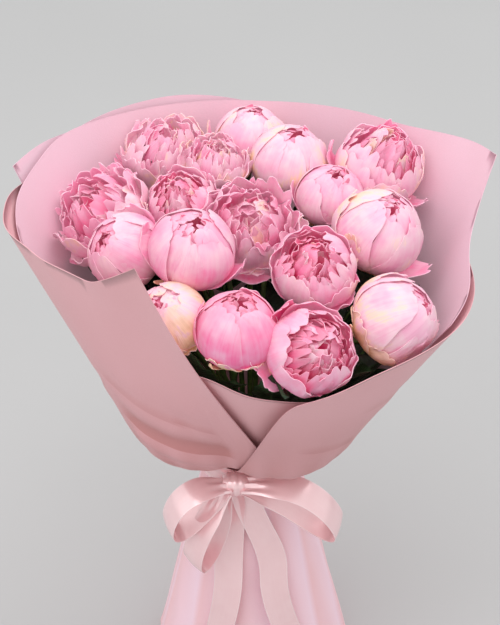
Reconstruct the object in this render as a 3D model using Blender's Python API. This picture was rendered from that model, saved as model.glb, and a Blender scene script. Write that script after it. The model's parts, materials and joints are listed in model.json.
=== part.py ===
"""Hand-tied bunch of peonies standing on its cut stems, in a paper wrap with a ribbon bow.

Metres, +Z up. The origin is the cut end of the middle stem, and -Y is the front.
"""

import math

import bmesh
import bpy
from mathutils import Vector

# Driving dimensions
GAP = 0.0005                  # clearance between pieces that touch
TIE_HEIGHT = 0.270            # the knot above the cut ends
WRAP_STEP = 8                 # degrees between the columns of a wrap sheet
SKIRT_STEP = 10               # degrees between the columns of a skirt sheet

# The dome of blooms: height of a bloom's centre above the tie
DOME_RISE = 0.244
DOME_FALL = 1.3
DOME_TILT = 0.10
BALL_SHARE = 0.84             # the solid bloom's radius as a share of the spread petals' radius
BLOOM_FLAT = 0.94             # where the underside is flattened on the stem, in radii
CUP_RIM = (28, 30)            # half angle of the cup's rim in degrees: closed, and more when open
CUP_DEPTH = (0.10, 0.45)      # depth of the cup in radii: closed, and more when open
LOBES = 5                     # shallow lobes where the outer petals lie
LOBE_DEPTH = 0.035
LOBE_TWIST = 4

# name: x, y, diameter, lift off the dome, openness, lean and its azimuth in degrees, ring
BLOOMS = {
    "top_left_open": (-0.075, 0.130, 0.076, 0.005, 0.9, 5, -90, "outer"),
    "left_open": (-0.130, 0.055, 0.079, 0.000, 0.9, 35, -140, "outer"),
    "left_low": (-0.105, -0.005, 0.069, 0.000, 0.3, 50, -155, "outer"),
    "inner_left": (-0.060, 0.050, 0.060, 0.000, 0.5, 20, -115, "inner"),
    "mid_left_ball": (-0.050, -0.025, 0.074, 0.010, 0.1, 10, -30, "inner"),
    "top_mid": (0.000, 0.150, 0.066, 0.005, 0.2, 10, 60, "outer"),
    "top_right_mid": (0.035, 0.105, 0.071, 0.005, 0.2, 15, 20, "inner"),
    "centre_open": (0.000, 0.020, 0.080, -0.010, 1.0, 30, -90, "centre"),
    "inner_right": (0.070, 0.060, 0.063, 0.000, 0.3, 10, 0, "inner"),
    "top_right": (0.115, 0.100, 0.082, 0.020, 0.5, 20, -10, "outer"),
    "right_ball": (0.110, 0.015, 0.081, 0.005, 0.1, 25, -10, "outer"),
    "mid_right_open": (0.055, -0.035, 0.074, 0.000, 0.7, 25, -90, "inner"),
    "right_low": (0.120, -0.075, 0.077, 0.000, 0.3, 50, -10, "outer"),
    "front_open": (0.050, -0.115, 0.077, 0.000, 0.7, 45, -60, "outer"),
    "front_ball": (-0.010, -0.100, 0.071, 0.000, 0.0, 5, 30, "outer"),
    "front_left_bud": (-0.065, -0.080, 0.064, -0.005, 0.1, 25, -135, "outer"),
    "inner_back": (-0.030, 0.100, 0.057, 0.005, 0.4, 5, -90, "inner"),
}

# Stems: where each ring of stems crosses the tie and meets the ground
STEM_RADIUS = 0.0029
CALYX_RADIUS = 0.0055
RINGS = {"centre": (0.0, 0.0, 0), "inner": (0.0095, 0.030, 30), "outer": (0.0205, 0.062, 0)}
TWIST_ABOVE = 25
TWIST_BELOW = 35
STEM_STEPS = 8                # stretches of a stem between its bloom and the tie
STEM_PULL = (0.30, 0.40)      # how far a stem runs straight from its bloom and from the tie

# Leaves: height above the tie, distance from the axis and width along one leaf
LEAF_COURSE = [
    (-0.022, 0.0265, 0.003), (0.009, 0.0265, 0.003), (0.030, 0.037, 0.003), (0.055, 0.056, 0.004),
    (0.080, 0.072, 0.020), (0.110, 0.090, 0.034), (0.140, 0.108, 0.034), (0.170, 0.126, 0.020),
    (0.193, 0.140, 0.002),
]
LEAF_THICKNESS = 0.0012
LEAF_KEEL = 0.003
LEAF_WALL_CLEARANCE = 0.020
LEAF_TURN_HEIGHT = 0.090      # by here a leaf has turned from its place in the tie to its gap
LEAF_STALK_TOP = 0.05         # below here the leaf is a stalk that stands up, and above it leans out
LEAF_WIDEST = 0.034
STALK_FACE_RISE = 0.6         # rise for each unit outwards of the way that the stalk's face looks
BLADE_FACE_FALL = 1.25        # and fall, for the blade's underside

# Paper: section of the wrap from the waist to the top of its bulge, as distance and height above the tie
PAPER = 0.001
LAYER = 0.003
SLOPE_STEP = 0.004            # height over which the wall's slope is measured
ROW_SHARES = (0.3, 0.65, 1.0)  # rows of a sheet between the bulge and the rim
WAIST_RADIUS = 0.044
SECTION = [(0.044, -0.008), (0.044, 0.010), (0.052, 0.018), (0.075, 0.021), (0.097, 0.029),
           (0.111, 0.043), (0.118, 0.060)]
# azimuth in degrees: how much of the bulge the wrap has there; it is pinched in behind the knot
FULLNESS = [(-170, 1.05), (-138, 1.00), (-124, 0.84), (-102, 0.50), (-84, 0.66), (-62, 0.86),
            (-30, 0.88), (10, 0.93), (90, 1.00), (150, 1.05)]
# azimuth in degrees: distance of the wall from the axis at the height REACH_HEIGHT
REACH_HEIGHT = 0.200
REACH = [(-175, 0.182), (-160, 0.169), (-145, 0.153), (-123, 0.133), (-108, 0.143), (-90, 0.158),
         (-61, 0.168), (-15, 0.192), (3, 0.178), (17, 0.187), (40, 0.183), (90, 0.179), (160, 0.180)]
# sheet: layer counted inwards, its two side edges as (height, azimuth), its rim as (azimuth, height)
SHEETS = {
    "left_front_sheet": (1, [(0, 150)],
                         [(-0.008, 292), (0.060, 280), (0.099, 273), (0.135, 261), (0.176, 254),
                          (0.201, 249), (0.256, 241), (0.304, 233)],
                         [(150, 0.245), (172, 0.269), (189, 0.270), (200, 0.276), (212, 0.269),
                          (222, 0.285), (233, 0.304)]),
    "right_front_sheet": (0, [(-0.008, 246), (0.011, 252), (0.037, 263), (0.069, 270), (0.117, 276),
                              (0.180, 282)],
                          [(0, 380)],
                          [(282, 0.180), (291, 0.191), (308, 0.205), (328, 0.209), (345, 0.207),
                           (356, 0.217), (380, 0.220)]),
    "front_inner_sheet": (3.4, [(0, 247)], [(0, 320)],
                          [(247, 0.182), (252, 0.183), (273, 0.172), (286, 0.166), (320, 0.160)]),
    "back_inner_sheet": (2, [(0, -23)], [(0, 197)],
                         [(-23, 0.200), (0, 0.225), (12, 0.258), (17, 0.283), (23, 0.276),
                          (46, 0.252), (68, 0.248), (87, 0.246), (108, 0.250), (129, 0.258),
                          (147, 0.268), (160, 0.262), (172, 0.264), (197, 0.235)]),
    "back_outer_sheet": (0, [(0, 30)], [(0, 165)],
                         [(30, 0.150), (60, 0.215), (90, 0.245), (108, 0.257), (133, 0.262),
                          (138, 0.255), (144, 0.266), (165, 0.276)]),
}

# Skirt of paper below the tie
SKIRT_TOP = -0.010
SKIRT_WAIST = 0.0435
SKIRT_HEM = 0.096
SKIRT_PLEATS = 7
SKIRT_PLEAT_DEPTH = 0.003
SKIRTS = {"skirt_front_sheet": (0, -170, 10), "skirt_back_sheet": (1, -10, 190)}

# Twine round the stems and ribbon round the paper
TWINE_INNER = 0.0290
TWINE_OUTER = 0.0320
TWINE_HALF_HEIGHT = 0.007
RIBBON = 0.001
RIBBON_WIDTH = 0.025
BAND_RADIUS = 0.0465
BAND_LOW = -0.015
BAND_HIGH = 0.008
KNOT_SIZE = (0.030, 0.014, 0.024)
KNOT_PLACE = (-0.013, -0.0560, 0.002)
KNOT_ROUNDING = 0.004
# loop: where it leaves the knot, its far end, half its depth
LOOPS = {
    "ribbon_loop_left": ((-0.030, -0.072, 0.003), (-0.066, -0.074, -0.047), 0.007),
    "ribbon_loop_left_lower": ((-0.034, -0.0575, -0.014), (-0.045, -0.0660, -0.088), 0.003),
    "ribbon_loop_right": ((0.004, -0.068, 0.003), (0.066, -0.066, -0.047), 0.008),
}
# tail: sideways place at the knot, half way and at the end, and the end's height above the tie
TAILS = {
    "ribbon_tail_left": (-0.019, -0.022, -0.036, -0.232),
    "ribbon_tail_right": (0.008, 0.026, 0.044, -0.238),
}
LOOP_STEPS = 14
LOOP_PINCH = 0.35             # share of a loop's depth that it keeps beside the knot
TAIL_TOP = -0.020
TAIL_CLEARANCE = 0.0025
TAIL_STEPS = 8
TAIL_BEND = 0.45              # how far down a tail its half-way place is

COLOURS = {
    "petals": ((0.90, 0.52, 0.66), 0.55),
    "stems": ((0.20, 0.33, 0.10), 0.50),
    "leaves": ((0.03, 0.09, 0.03), 0.40),
    "wrap_paper": ((0.78, 0.45, 0.48), 0.80),
    "skirt_paper": ((0.82, 0.60, 0.66), 0.80),
    "ribbon": ((0.83, 0.55, 0.60), 0.30),
    "twine": ((0.45, 0.33, 0.18), 0.90),
}


def clear_scene():
    for obj in list(bpy.data.objects):
        bpy.data.objects.remove(obj)


def polar(azimuth, distance, height):
    """Point at an azimuth in degrees, a distance from the axis and a height above the tie."""
    turn = math.radians(azimuth)
    return Vector((distance * math.cos(turn), distance * math.sin(turn), TIE_HEIGHT + height))


def level_direction(azimuth):
    turn = math.radians(azimuth)
    return Vector((math.cos(turn), math.sin(turn), 0))


def along(points, x):
    """Straight interpolation in a list of (x, value) pairs, held level past both ends."""
    if x <= points[0][0]:
        return points[0][1]
    for (x0, y0), (x1, y1) in zip(points, points[1:]):
        if x <= x1:
            return y0 + (y1 - y0) * (x - x0) / (x1 - x0)
    return points[-1][1]


def eased(points, x):
    """As along, but each stretch eases in and out, so the curve has no corners."""
    for (x0, y0), (x1, y1) in zip(points, points[1:]):
        if x0 <= x <= x1:
            t = (x - x0) / (x1 - x0)
            return y0 + (y1 - y0) * t * t * (3 - 2 * t)
    return points[0][1] if x < points[0][0] else points[-1][1]


def make_material(name):
    colour, roughness = COLOURS[name]
    material = bpy.data.materials.get(name)
    if material is None:
        material = bpy.data.materials.new(name)
        material.use_nodes = True
        shader = material.node_tree.nodes["Principled BSDF"]
        shader.inputs["Base Color"].default_value = (*colour, 1.0)
        shader.inputs["Roughness"].default_value = roughness
        shader.inputs["Metallic"].default_value = 0.0
    return material


def add_object(name, mesh_builder, finish, smooth=True):
    """Turn a bmesh into a named object with outward faces and its own material."""
    bmesh.ops.recalc_face_normals(mesh_builder, faces=mesh_builder.faces)
    mesh = bpy.data.meshes.new(name)
    mesh_builder.to_mesh(mesh)
    mesh_builder.free()
    if smooth:
        mesh.shade_smooth()
        mesh.set_sharp_from_angle(angle=math.radians(50))
    mesh.materials.append(make_material(finish))
    obj = bpy.data.objects.new(name, mesh)
    bpy.context.collection.objects.link(obj)
    return obj


def bridge_rings(mesh_builder, rings, closed_end=False):
    """Join rings of vertices in order. closed_end joins the last ring to the first."""
    pairs = list(zip(rings, rings[1:]))
    if closed_end:
        pairs.append((rings[-1], rings[0]))
    for low, high in pairs:
        count = len(low)
        for i in range(count):
            j = (i + 1) % count
            mesh_builder.faces.new((low[i], low[j], high[j], high[i]))


def section_body(name, sections, finish, closed_end=False, smooth=True):
    """One closed body through a row of cross-sections, capped unless its ends are joined."""
    mesh_builder = bmesh.new()
    rings = [[mesh_builder.verts.new(point) for point in section] for section in sections]
    bridge_rings(mesh_builder, rings, closed_end)
    if not closed_end:
        mesh_builder.faces.new(rings[0])
        mesh_builder.faces.new(rings[-1])
    return add_object(name, mesh_builder, finish, smooth)


def bloom_centre(bloom):
    x, y, _, lift = bloom[:4]
    height = DOME_RISE + DOME_TILT * y - DOME_FALL * (x * x + y * y) + lift
    return Vector((x, y, TIE_HEIGHT + height))


def bloom_axis(bloom):
    lean, azimuth = (math.radians(angle) for angle in bloom[5:7])
    flat = math.sin(lean)
    return Vector((flat * math.cos(azimuth), flat * math.sin(azimuth), math.cos(lean)))


def bloom_radius(bloom):
    return bloom[2] / 2 * BALL_SHARE


def add_bloom(name, bloom):
    """A lobed ball of petals, with a cup in its top as deep as the bloom is open."""
    radius = bloom_radius(bloom)
    openness = bloom[4]
    rim = math.radians(CUP_RIM[0] + CUP_RIM[1] * openness)
    depth = radius * (CUP_DEPTH[0] + CUP_DEPTH[1] * openness)
    mesh_builder = bmesh.new()
    bmesh.ops.create_uvsphere(mesh_builder, u_segments=14, v_segments=9, radius=radius)
    for vertex in mesh_builder.verts:
        place = vertex.co
        tilt = math.acos(max(-1.0, min(1.0, place.z / radius)))
        turn = math.atan2(place.y, place.x)
        lobes = 1 - LOBE_DEPTH + LOBE_DEPTH * math.cos(LOBES * turn + LOBE_TWIST * tilt)
        place.xy = place.xy * lobes
        if tilt < rim:
            place.z -= depth * (1 - (tilt / rim) ** 2)
        place.z = max(place.z, -BLOOM_FLAT * radius)
    turn_to_axis = bloom_axis(bloom).to_track_quat("Z", "Y").to_matrix().to_4x4()
    bmesh.ops.transform(mesh_builder, matrix=turn_to_axis, verts=mesh_builder.verts)
    bmesh.ops.translate(mesh_builder, vec=bloom_centre(bloom), verts=mesh_builder.verts)
    add_object(name, mesh_builder, "petals")


def ring_order(ring):
    """Names of a ring's blooms, in order round the axis."""
    names = [name for name, bloom in BLOOMS.items() if bloom[7] == ring]
    return sorted(names, key=lambda name: math.atan2(BLOOMS[name][1], BLOOMS[name][0]))


def azimuth_of(name):
    x, y = BLOOMS[name][:2]
    return math.degrees(math.atan2(y, x))


def tie_azimuth(ring, index):
    """Azimuth at the tie of a ring's stem: the stems are evenly spaced there."""
    names = ring_order(ring)
    return azimuth_of(names[0]) + RINGS[ring][2] + TWIST_ABOVE + index * 360 / len(names)


def bezier(ends, t):
    a, b, c, d = ends
    s = 1 - t
    return a * s**3 + b * 3 * s * s * t + c * 3 * s * t * t + d * t**3


def stem_course(name, ring, index):
    """Points down a stem, from under its bloom through the tie to its cut end."""
    bloom = BLOOMS[name]
    tie_distance, foot_distance, _ = RINGS[ring]
    azimuth = tie_azimuth(ring, index)
    tie = polar(azimuth, tie_distance, 0)
    foot = polar(azimuth + TWIST_BELOW, foot_distance, -TIE_HEIGHT)
    top = bloom_centre(bloom) - bloom_axis(bloom) * (BLOOM_FLAT * bloom_radius(bloom) + GAP)
    reach = (top - tie).length
    upward = (tie - foot).normalized()
    ends = (top, top - bloom_axis(bloom) * reach * STEM_PULL[0],
            tie + upward * reach * STEM_PULL[1], tie)
    course = [bezier(ends, step / STEM_STEPS) for step in range(STEM_STEPS + 1)]
    return course + [tie.lerp(foot, share) for share in (0.5, 1.0)]


def round_section(centre, direction, radius, sides=6):
    """Corners of a polygon square to a direction; its first corner keeps to the +X side."""
    across = direction.cross(Vector((0, 1, 0))).normalized()
    other = direction.cross(across).normalized()
    corners = []
    for i in range(sides):
        turn = 2 * math.pi * i / sides
        corners.append(centre + across * radius * math.cos(turn) + other * radius * math.sin(turn))
    return corners


def add_stem(name, ring, index):
    course = stem_course(name, ring, index)
    sections = []
    for i, point in enumerate(course):
        before = course[max(i - 1, 0)]
        after = course[min(i + 1, len(course) - 1)]
        if i == 0:
            direction = -bloom_axis(BLOOMS[name])
        elif i == len(course) - 1:
            direction = Vector((0, 0, -1))
        else:
            direction = (after - before).normalized()
        radius = CALYX_RADIUS if i == 0 else STEM_RADIUS
        sections.append(round_section(point, direction, radius))
    section_body("stem_of_" + name, sections, "stems")


def round_table(table, azimuth):
    """Eased value of a table of azimuths that starts in the first place and comes round to it."""
    first = table[0][0]
    return eased(table + [(first + 360, table[0][1])], (azimuth - first) % 360 + first)


def wall_point(azimuth, height):
    """Point of the wrap's outer layer at an azimuth and a height above the tie."""
    top_height = SECTION[-1][1]
    fullness = round_table(FULLNESS, azimuth)
    bulge = along([(level, distance) for distance, level in SECTION], height) - WAIST_RADIUS
    distance = WAIST_RADIUS + bulge * fullness
    if height > top_height:
        share = (height - top_height) / (REACH_HEIGHT - top_height)
        distance += (round_table(REACH, azimuth) - distance) * share
    return polar(azimuth, distance, height)


def wall_layer(azimuth, height, depth):
    """The same point moved square to the wall, inwards by depth."""
    around = wall_point(azimuth + 1, height) - wall_point(azimuth - 1, height)
    upward = wall_point(azimuth, height + SLOPE_STEP) - wall_point(azimuth, height - SLOPE_STEP)
    inward = upward.cross(around).normalized()
    return wall_point(azimuth, height) + inward * depth


def sheet_heights(rim):
    """Heights of a sheet's rows above the tie: those of the bulge's section, then evenly to the rim."""
    rows = [height for _, height in SECTION]
    return rows + [rows[-1] + (rim - rows[-1]) * share for share in ROW_SHARES]


def add_sheet(name, grid, finish):
    """A closed sheet from a grid of (outer, inner) point pairs, one list per column."""
    mesh_builder = bmesh.new()
    faces = [[[mesh_builder.verts.new(pair[side]) for pair in column] for column in grid]
             for side in (0, 1)]
    for side in faces:
        for left, right in zip(side, side[1:]):
            for row in range(len(left) - 1):
                mesh_builder.faces.new((left[row], right[row], right[row + 1], left[row + 1]))
    outer, inner = faces
    for row in (0, -1):
        for i in range(len(grid) - 1):
            mesh_builder.faces.new((outer[i][row], outer[i + 1][row], inner[i + 1][row], inner[i][row]))
    for column in (0, -1):
        for row in range(len(grid[0]) - 1):
            mesh_builder.faces.new((outer[column][row], outer[column][row + 1],
                                    inner[column][row + 1], inner[column][row]))
    add_object(name, mesh_builder, finish, smooth=False)


def add_wrap_sheet(name):
    layer, first_edge, last_edge, rim = SHEETS[name]
    widest = along(last_edge, 0) - along(first_edge, 0)
    count = round(widest / WRAP_STEP)
    grid = []
    for i in range(count + 1):
        share = i / count
        rim_azimuth = rim[0][0] + (rim[-1][0] - rim[0][0]) * share
        column = []
        for height in sheet_heights(along(rim, rim_azimuth)):
            first = along(first_edge, height)
            azimuth = first + (along(last_edge, height) - first) * share
            column.append((wall_layer(azimuth, height, layer * LAYER),
                           wall_layer(azimuth, height, layer * LAYER + PAPER)))
        grid.append(column)
    add_sheet(name, grid, "wrap_paper")


def skirt_distance(azimuth, height):
    """Distance of the skirt's outer sheet from the axis at a height above the tie."""
    share = (SKIRT_TOP - height) / (SKIRT_TOP + TIE_HEIGHT)
    pleat = SKIRT_PLEAT_DEPTH * share * math.cos(math.radians(SKIRT_PLEATS * azimuth))
    return SKIRT_WAIST + (SKIRT_HEM - SKIRT_WAIST) * share + pleat


def add_skirt_sheet(name):
    layer, first, last = SKIRTS[name]
    grid = []
    for azimuth in range(first, last + 1, SKIRT_STEP):
        column = []
        for share in (0.0, 0.25, 0.5, 0.75, 1.0):
            height = SKIRT_TOP - share * (SKIRT_TOP + TIE_HEIGHT)
            distance = skirt_distance(azimuth, height) - layer * LAYER
            column.append((polar(azimuth, distance, height), polar(azimuth, distance - PAPER, height)))
        grid.append(column)
    add_sheet(name, grid, "skirt_paper")


def add_ring(name, inner, outer, low, high, finish, sides=24):
    """A closed band round the axis."""
    sections = []
    for i in range(sides):
        azimuth = 360 * i / sides
        sections.append([polar(azimuth, inner, low), polar(azimuth, outer, low),
                         polar(azimuth, outer, high), polar(azimuth, inner, high)])
    section_body(name, sections, finish, closed_end=True)


def strip_section(centre, across, normal, width, thickness):
    side = across.normalized() * width / 2
    face = normal.normalized() * thickness / 2
    return [centre - side - face, centre + side - face, centre + side + face, centre - side + face]


def add_leaf(index, outer_names):
    """One leaf held in the tie between two outer stems, its blade spreading under the blooms."""
    here = outer_names[index]
    following = outer_names[(index + 1) % len(outer_names)]
    span = (azimuth_of(following) - azimuth_of(here)) % 360
    top_azimuth = azimuth_of(here) + span / 2
    tie_place = tie_azimuth("outer", index) + 180 / len(outer_names)
    sections = []
    for height, distance, width in LEAF_COURSE:
        share = max(0.0, min(1.0, height / LEAF_TURN_HEIGHT))
        azimuth = tie_place + (top_azimuth - tie_place) * share
        wall = wall_point(azimuth, height)
        limit = math.hypot(wall.x, wall.y) - LEAF_WALL_CLEARANCE
        around = level_direction(azimuth + 90)
        outward = level_direction(azimuth)
        if height < LEAF_STALK_TOP:
            outward.z += STALK_FACE_RISE
        else:
            distance = min(distance, limit)
            outward.z -= BLADE_FACE_FALL
        centre = polar(azimuth, distance, height)
        side = around * width / 2
        face = outward.normalized() * LEAF_THICKNESS / 2
        keel = outward.normalized() * LEAF_KEEL * width / LEAF_WIDEST
        sections.append([centre - side - face, centre + keel - face, centre + side - face,
                         centre + side + face, centre + keel + face, centre - side + face])
    section_body("leaf_%02d" % (index + 1), sections, "leaves")


def add_knot():
    mesh_builder = bmesh.new()
    bmesh.ops.create_cube(mesh_builder, size=1.0)
    bmesh.ops.scale(mesh_builder, vec=KNOT_SIZE, verts=mesh_builder.verts)
    bmesh.ops.bevel(mesh_builder, geom=mesh_builder.edges[:], offset=KNOT_ROUNDING, segments=2,
                    affect="EDGES", profile=0.5)
    place = Vector(KNOT_PLACE) + Vector((0, 0, TIE_HEIGHT))
    bmesh.ops.translate(mesh_builder, vec=place, verts=mesh_builder.verts)
    add_object("ribbon_knot", mesh_builder, "ribbon")


def add_loop(name):
    """A ribbon loop: a long flat teardrop of strip, pinched at the knot."""
    start, end, half_depth = LOOPS[name]
    start = Vector(start) + Vector((0, 0, TIE_HEIGHT))
    end = Vector(end) + Vector((0, 0, TIE_HEIGHT))
    reach = end - start
    across = reach.cross(Vector((0, 1, 0))).normalized()
    depth_axis = across.cross(reach).normalized()
    centre_line = []
    for i in range(LOOP_STEPS):
        turn = 2 * math.pi * i / LOOP_STEPS
        share = (1 - math.cos(turn)) / 2
        swell = LOOP_PINCH + (1 - LOOP_PINCH) * math.sin(share * math.pi / 2)
        centre_line.append(start + reach * share + depth_axis * half_depth * swell * math.sin(turn))
    sections = []
    for i, point in enumerate(centre_line):
        course = centre_line[(i + 1) % LOOP_STEPS] - centre_line[i - 1]
        sections.append(strip_section(point, across, across.cross(course), RIBBON_WIDTH, RIBBON))
    section_body(name, sections, "ribbon", closed_end=True)


def add_tail(name):
    """A ribbon end hanging down the front of the skirt."""
    at_knot, half_way, at_end, end_height = TAILS[name]
    sections = []
    for i in range(TAIL_STEPS + 1):
        share = i / TAIL_STEPS
        height = TAIL_TOP + (end_height - TAIL_TOP) * share
        x = eased([(0.0, at_knot), (TAIL_BEND, half_way), (1.0, at_end)], share)
        distance = skirt_distance(-90, height) + SKIRT_PLEAT_DEPTH + TAIL_CLEARANCE
        y = -math.sqrt(distance * distance - x * x)
        centre = Vector((x, y, TIE_HEIGHT + height))
        outward = Vector((x, y, 0))
        across = outward.cross(Vector((0, 0, 1)))
        sections.append(strip_section(centre, across, outward, RIBBON_WIDTH, RIBBON))
    section_body(name, sections, "ribbon", smooth=False)


def main():
    clear_scene()
    for name, bloom in BLOOMS.items():
        add_bloom(name, bloom)
    for ring in RINGS:
        for index, name in enumerate(ring_order(ring)):
            add_stem(name, ring, index)
    outer_names = ring_order("outer")
    for index in range(len(outer_names)):
        add_leaf(index, outer_names)
    for name in SHEETS:
        add_wrap_sheet(name)
    for name in SKIRTS:
        add_skirt_sheet(name)
    add_ring("binding_twine", TWINE_INNER, TWINE_OUTER, -TWINE_HALF_HEIGHT, TWINE_HALF_HEIGHT, "twine")
    add_ring("ribbon_band", BAND_RADIUS, BAND_RADIUS + RIBBON, BAND_LOW, BAND_HIGH, "ribbon")
    add_knot()
    for name in LOOPS:
        add_loop(name)
    for name in TAILS:
        add_tail(name)


main()
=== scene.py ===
"""Looks of a hand-tied bunch of peonies in a paper wrap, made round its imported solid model.

Metres, +Z up. The bunch stands on its cut stems at the origin, and -Y is the front.
"""

import json
import math
import random
from dataclasses import dataclass

import bmesh
import bpy
import numpy as np
from mathutils import Matrix, Vector

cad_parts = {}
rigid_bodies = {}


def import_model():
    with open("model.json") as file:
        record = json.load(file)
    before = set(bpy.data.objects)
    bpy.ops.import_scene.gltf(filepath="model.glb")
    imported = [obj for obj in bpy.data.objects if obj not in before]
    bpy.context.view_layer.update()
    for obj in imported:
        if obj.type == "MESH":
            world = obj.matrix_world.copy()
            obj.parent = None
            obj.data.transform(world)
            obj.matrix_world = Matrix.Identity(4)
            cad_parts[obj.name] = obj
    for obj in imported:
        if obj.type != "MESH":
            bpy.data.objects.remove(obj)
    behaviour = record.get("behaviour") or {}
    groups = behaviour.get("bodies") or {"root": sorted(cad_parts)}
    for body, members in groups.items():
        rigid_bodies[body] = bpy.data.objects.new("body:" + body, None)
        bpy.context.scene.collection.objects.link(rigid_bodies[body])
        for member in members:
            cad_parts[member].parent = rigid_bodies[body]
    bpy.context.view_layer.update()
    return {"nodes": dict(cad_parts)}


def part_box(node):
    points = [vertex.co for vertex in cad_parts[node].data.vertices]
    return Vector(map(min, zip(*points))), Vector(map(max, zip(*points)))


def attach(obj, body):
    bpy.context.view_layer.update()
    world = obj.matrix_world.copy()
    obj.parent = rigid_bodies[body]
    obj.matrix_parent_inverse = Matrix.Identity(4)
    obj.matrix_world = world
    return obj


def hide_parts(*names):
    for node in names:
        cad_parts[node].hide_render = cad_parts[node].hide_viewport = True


bl_info = {
    "name": "Bunch of peonies",
    "version": (1, 0, 0),
    "blender": (4, 5, 0),
    "location": "3D View > Sidebar > Peonies",
    "description": "Petals, leaves, stems, paper, ribbon and stage of a hand-tied bunch of peonies",
    "category": "Mesh",
}

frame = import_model()

# Heights are measured from the tie, the middle of the twine
TIE = sum(corner.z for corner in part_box("binding_twine")) / 2

BALL_SHARE = 0.84             # radius of a solid bloom's ball, in radii of the spread petals
BALL_LOBES = 0.985            # half the widest span of the ball's lobes, in its own radii
BALL_FOOT = 0.955             # height of the ball's centre over its flat foot, in its own radii
STEM_JOINT = 0.79             # distance of the stem's top under a bloom's centre, in petal radii
SPIRAL_TURN = 137.5           # degrees from one petal, whorl or sepal to the next

# bloom: form, lean and its azimuth in degrees, depth of colour, first petal's azimuth
BLOOMS = {
    "top_left_open": ("loose", 5, -90, 0.11, 10),
    "left_open": ("loose", 35, -140, 0.21, 35),
    "left_low": ("ball", 50, -155, 0.32, 60),
    "inner_left": ("cup", 20, -115, 0.30, 0),
    "mid_left_ball": ("ball", 10, -30, 0.34, 20),
    "top_mid": ("ball", 10, 60, 0.20, 50),
    "top_right_mid": ("ball", 15, 20, 0.18, 75),
    "centre_open": ("loose", 30, -90, 0.20, 15),
    "inner_right": ("ball", 10, 0, 0.30, 30),
    "top_right": ("cup", 20, -10, 0.17, 5),
    "right_ball": ("ball", 25, -10, 0.18, 40),
    "mid_right_open": ("cup", 25, -90, 0.30, 55),
    "right_low": ("ball", 50, -10, 0.15, 25),
    "front_open": ("cup", 45, -60, 0.44, 70),
    "front_ball": ("ball", 5, 30, 0.56, 45),
    "front_left_bud": ("ball", 25, -135, 0.06, 65),
    "inner_back": ("loose", 5, -90, 0.12, 80),
}
OPENNESS = {"ball": 0.1, "cup": 0.5, "loose": 1.0}

# Whorls of each form from the outside in: petals, radius and width in bloom radii, angle from the foot
# to the tip in degrees, how high they close, outward flare, colour step, raggedness
WHORLS = {
    "ball": [
        (4, 1.00, 1.80, 152, 1.00, 0.00, -0.04, 0.03),
        (4, 0.96, 1.75, 160, 0.98, 0.00, 0.00, 0.04),
        (4, 0.92, 1.60, 164, 0.95, 0.00, 0.04, 0.05),
        (5, 0.86, 1.30, 166, 0.92, 0.00, 0.16, 0.10),
        (6, 0.78, 1.10, 166, 0.90, 0.02, 0.40, 0.16),
    ],
    "cup": [
        (4, 1.00, 1.75, 122, 0.98, 0.05, -0.04, 0.06),
        (4, 0.96, 1.70, 132, 0.96, 0.02, 0.00, 0.08),
        (5, 0.91, 1.50, 139, 0.93, 0.00, 0.10, 0.14),
        (5, 0.80, 1.30, 138, 0.88, 0.03, 0.42, 0.22),
        (6, 0.66, 1.10, 142, 0.80, 0.05, 0.48, 0.26),
    ],
    "loose": [
        (5, 1.01, 1.85, 104, 0.84, 0.20, -0.04, 0.07),
        (5, 0.98, 1.80, 116, 0.92, 0.16, 0.00, 0.09),
        (5, 0.93, 1.70, 124, 0.96, 0.13, 0.04, 0.11),
        (6, 0.84, 1.45, 131, 0.98, 0.12, 0.08, 0.13),
        (6, 0.70, 1.30, 138, 0.98, 0.10, 0.20, 0.15),
    ],
}
# The ragged petals in the middle of each form: how many, and how far their tone is from the bloom's
CROWN_PETALS = {"ball": 10, "cup": 22, "loose": 26}
CROWN_TONES = {
    "ball": (0.6, 0.75, 0.9),
    "cup": (-0.25, 0.0, 0.3, 0.5, 0.6),
    "loose": (-0.1, 0.05, 0.15, 0.4),
}

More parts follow.
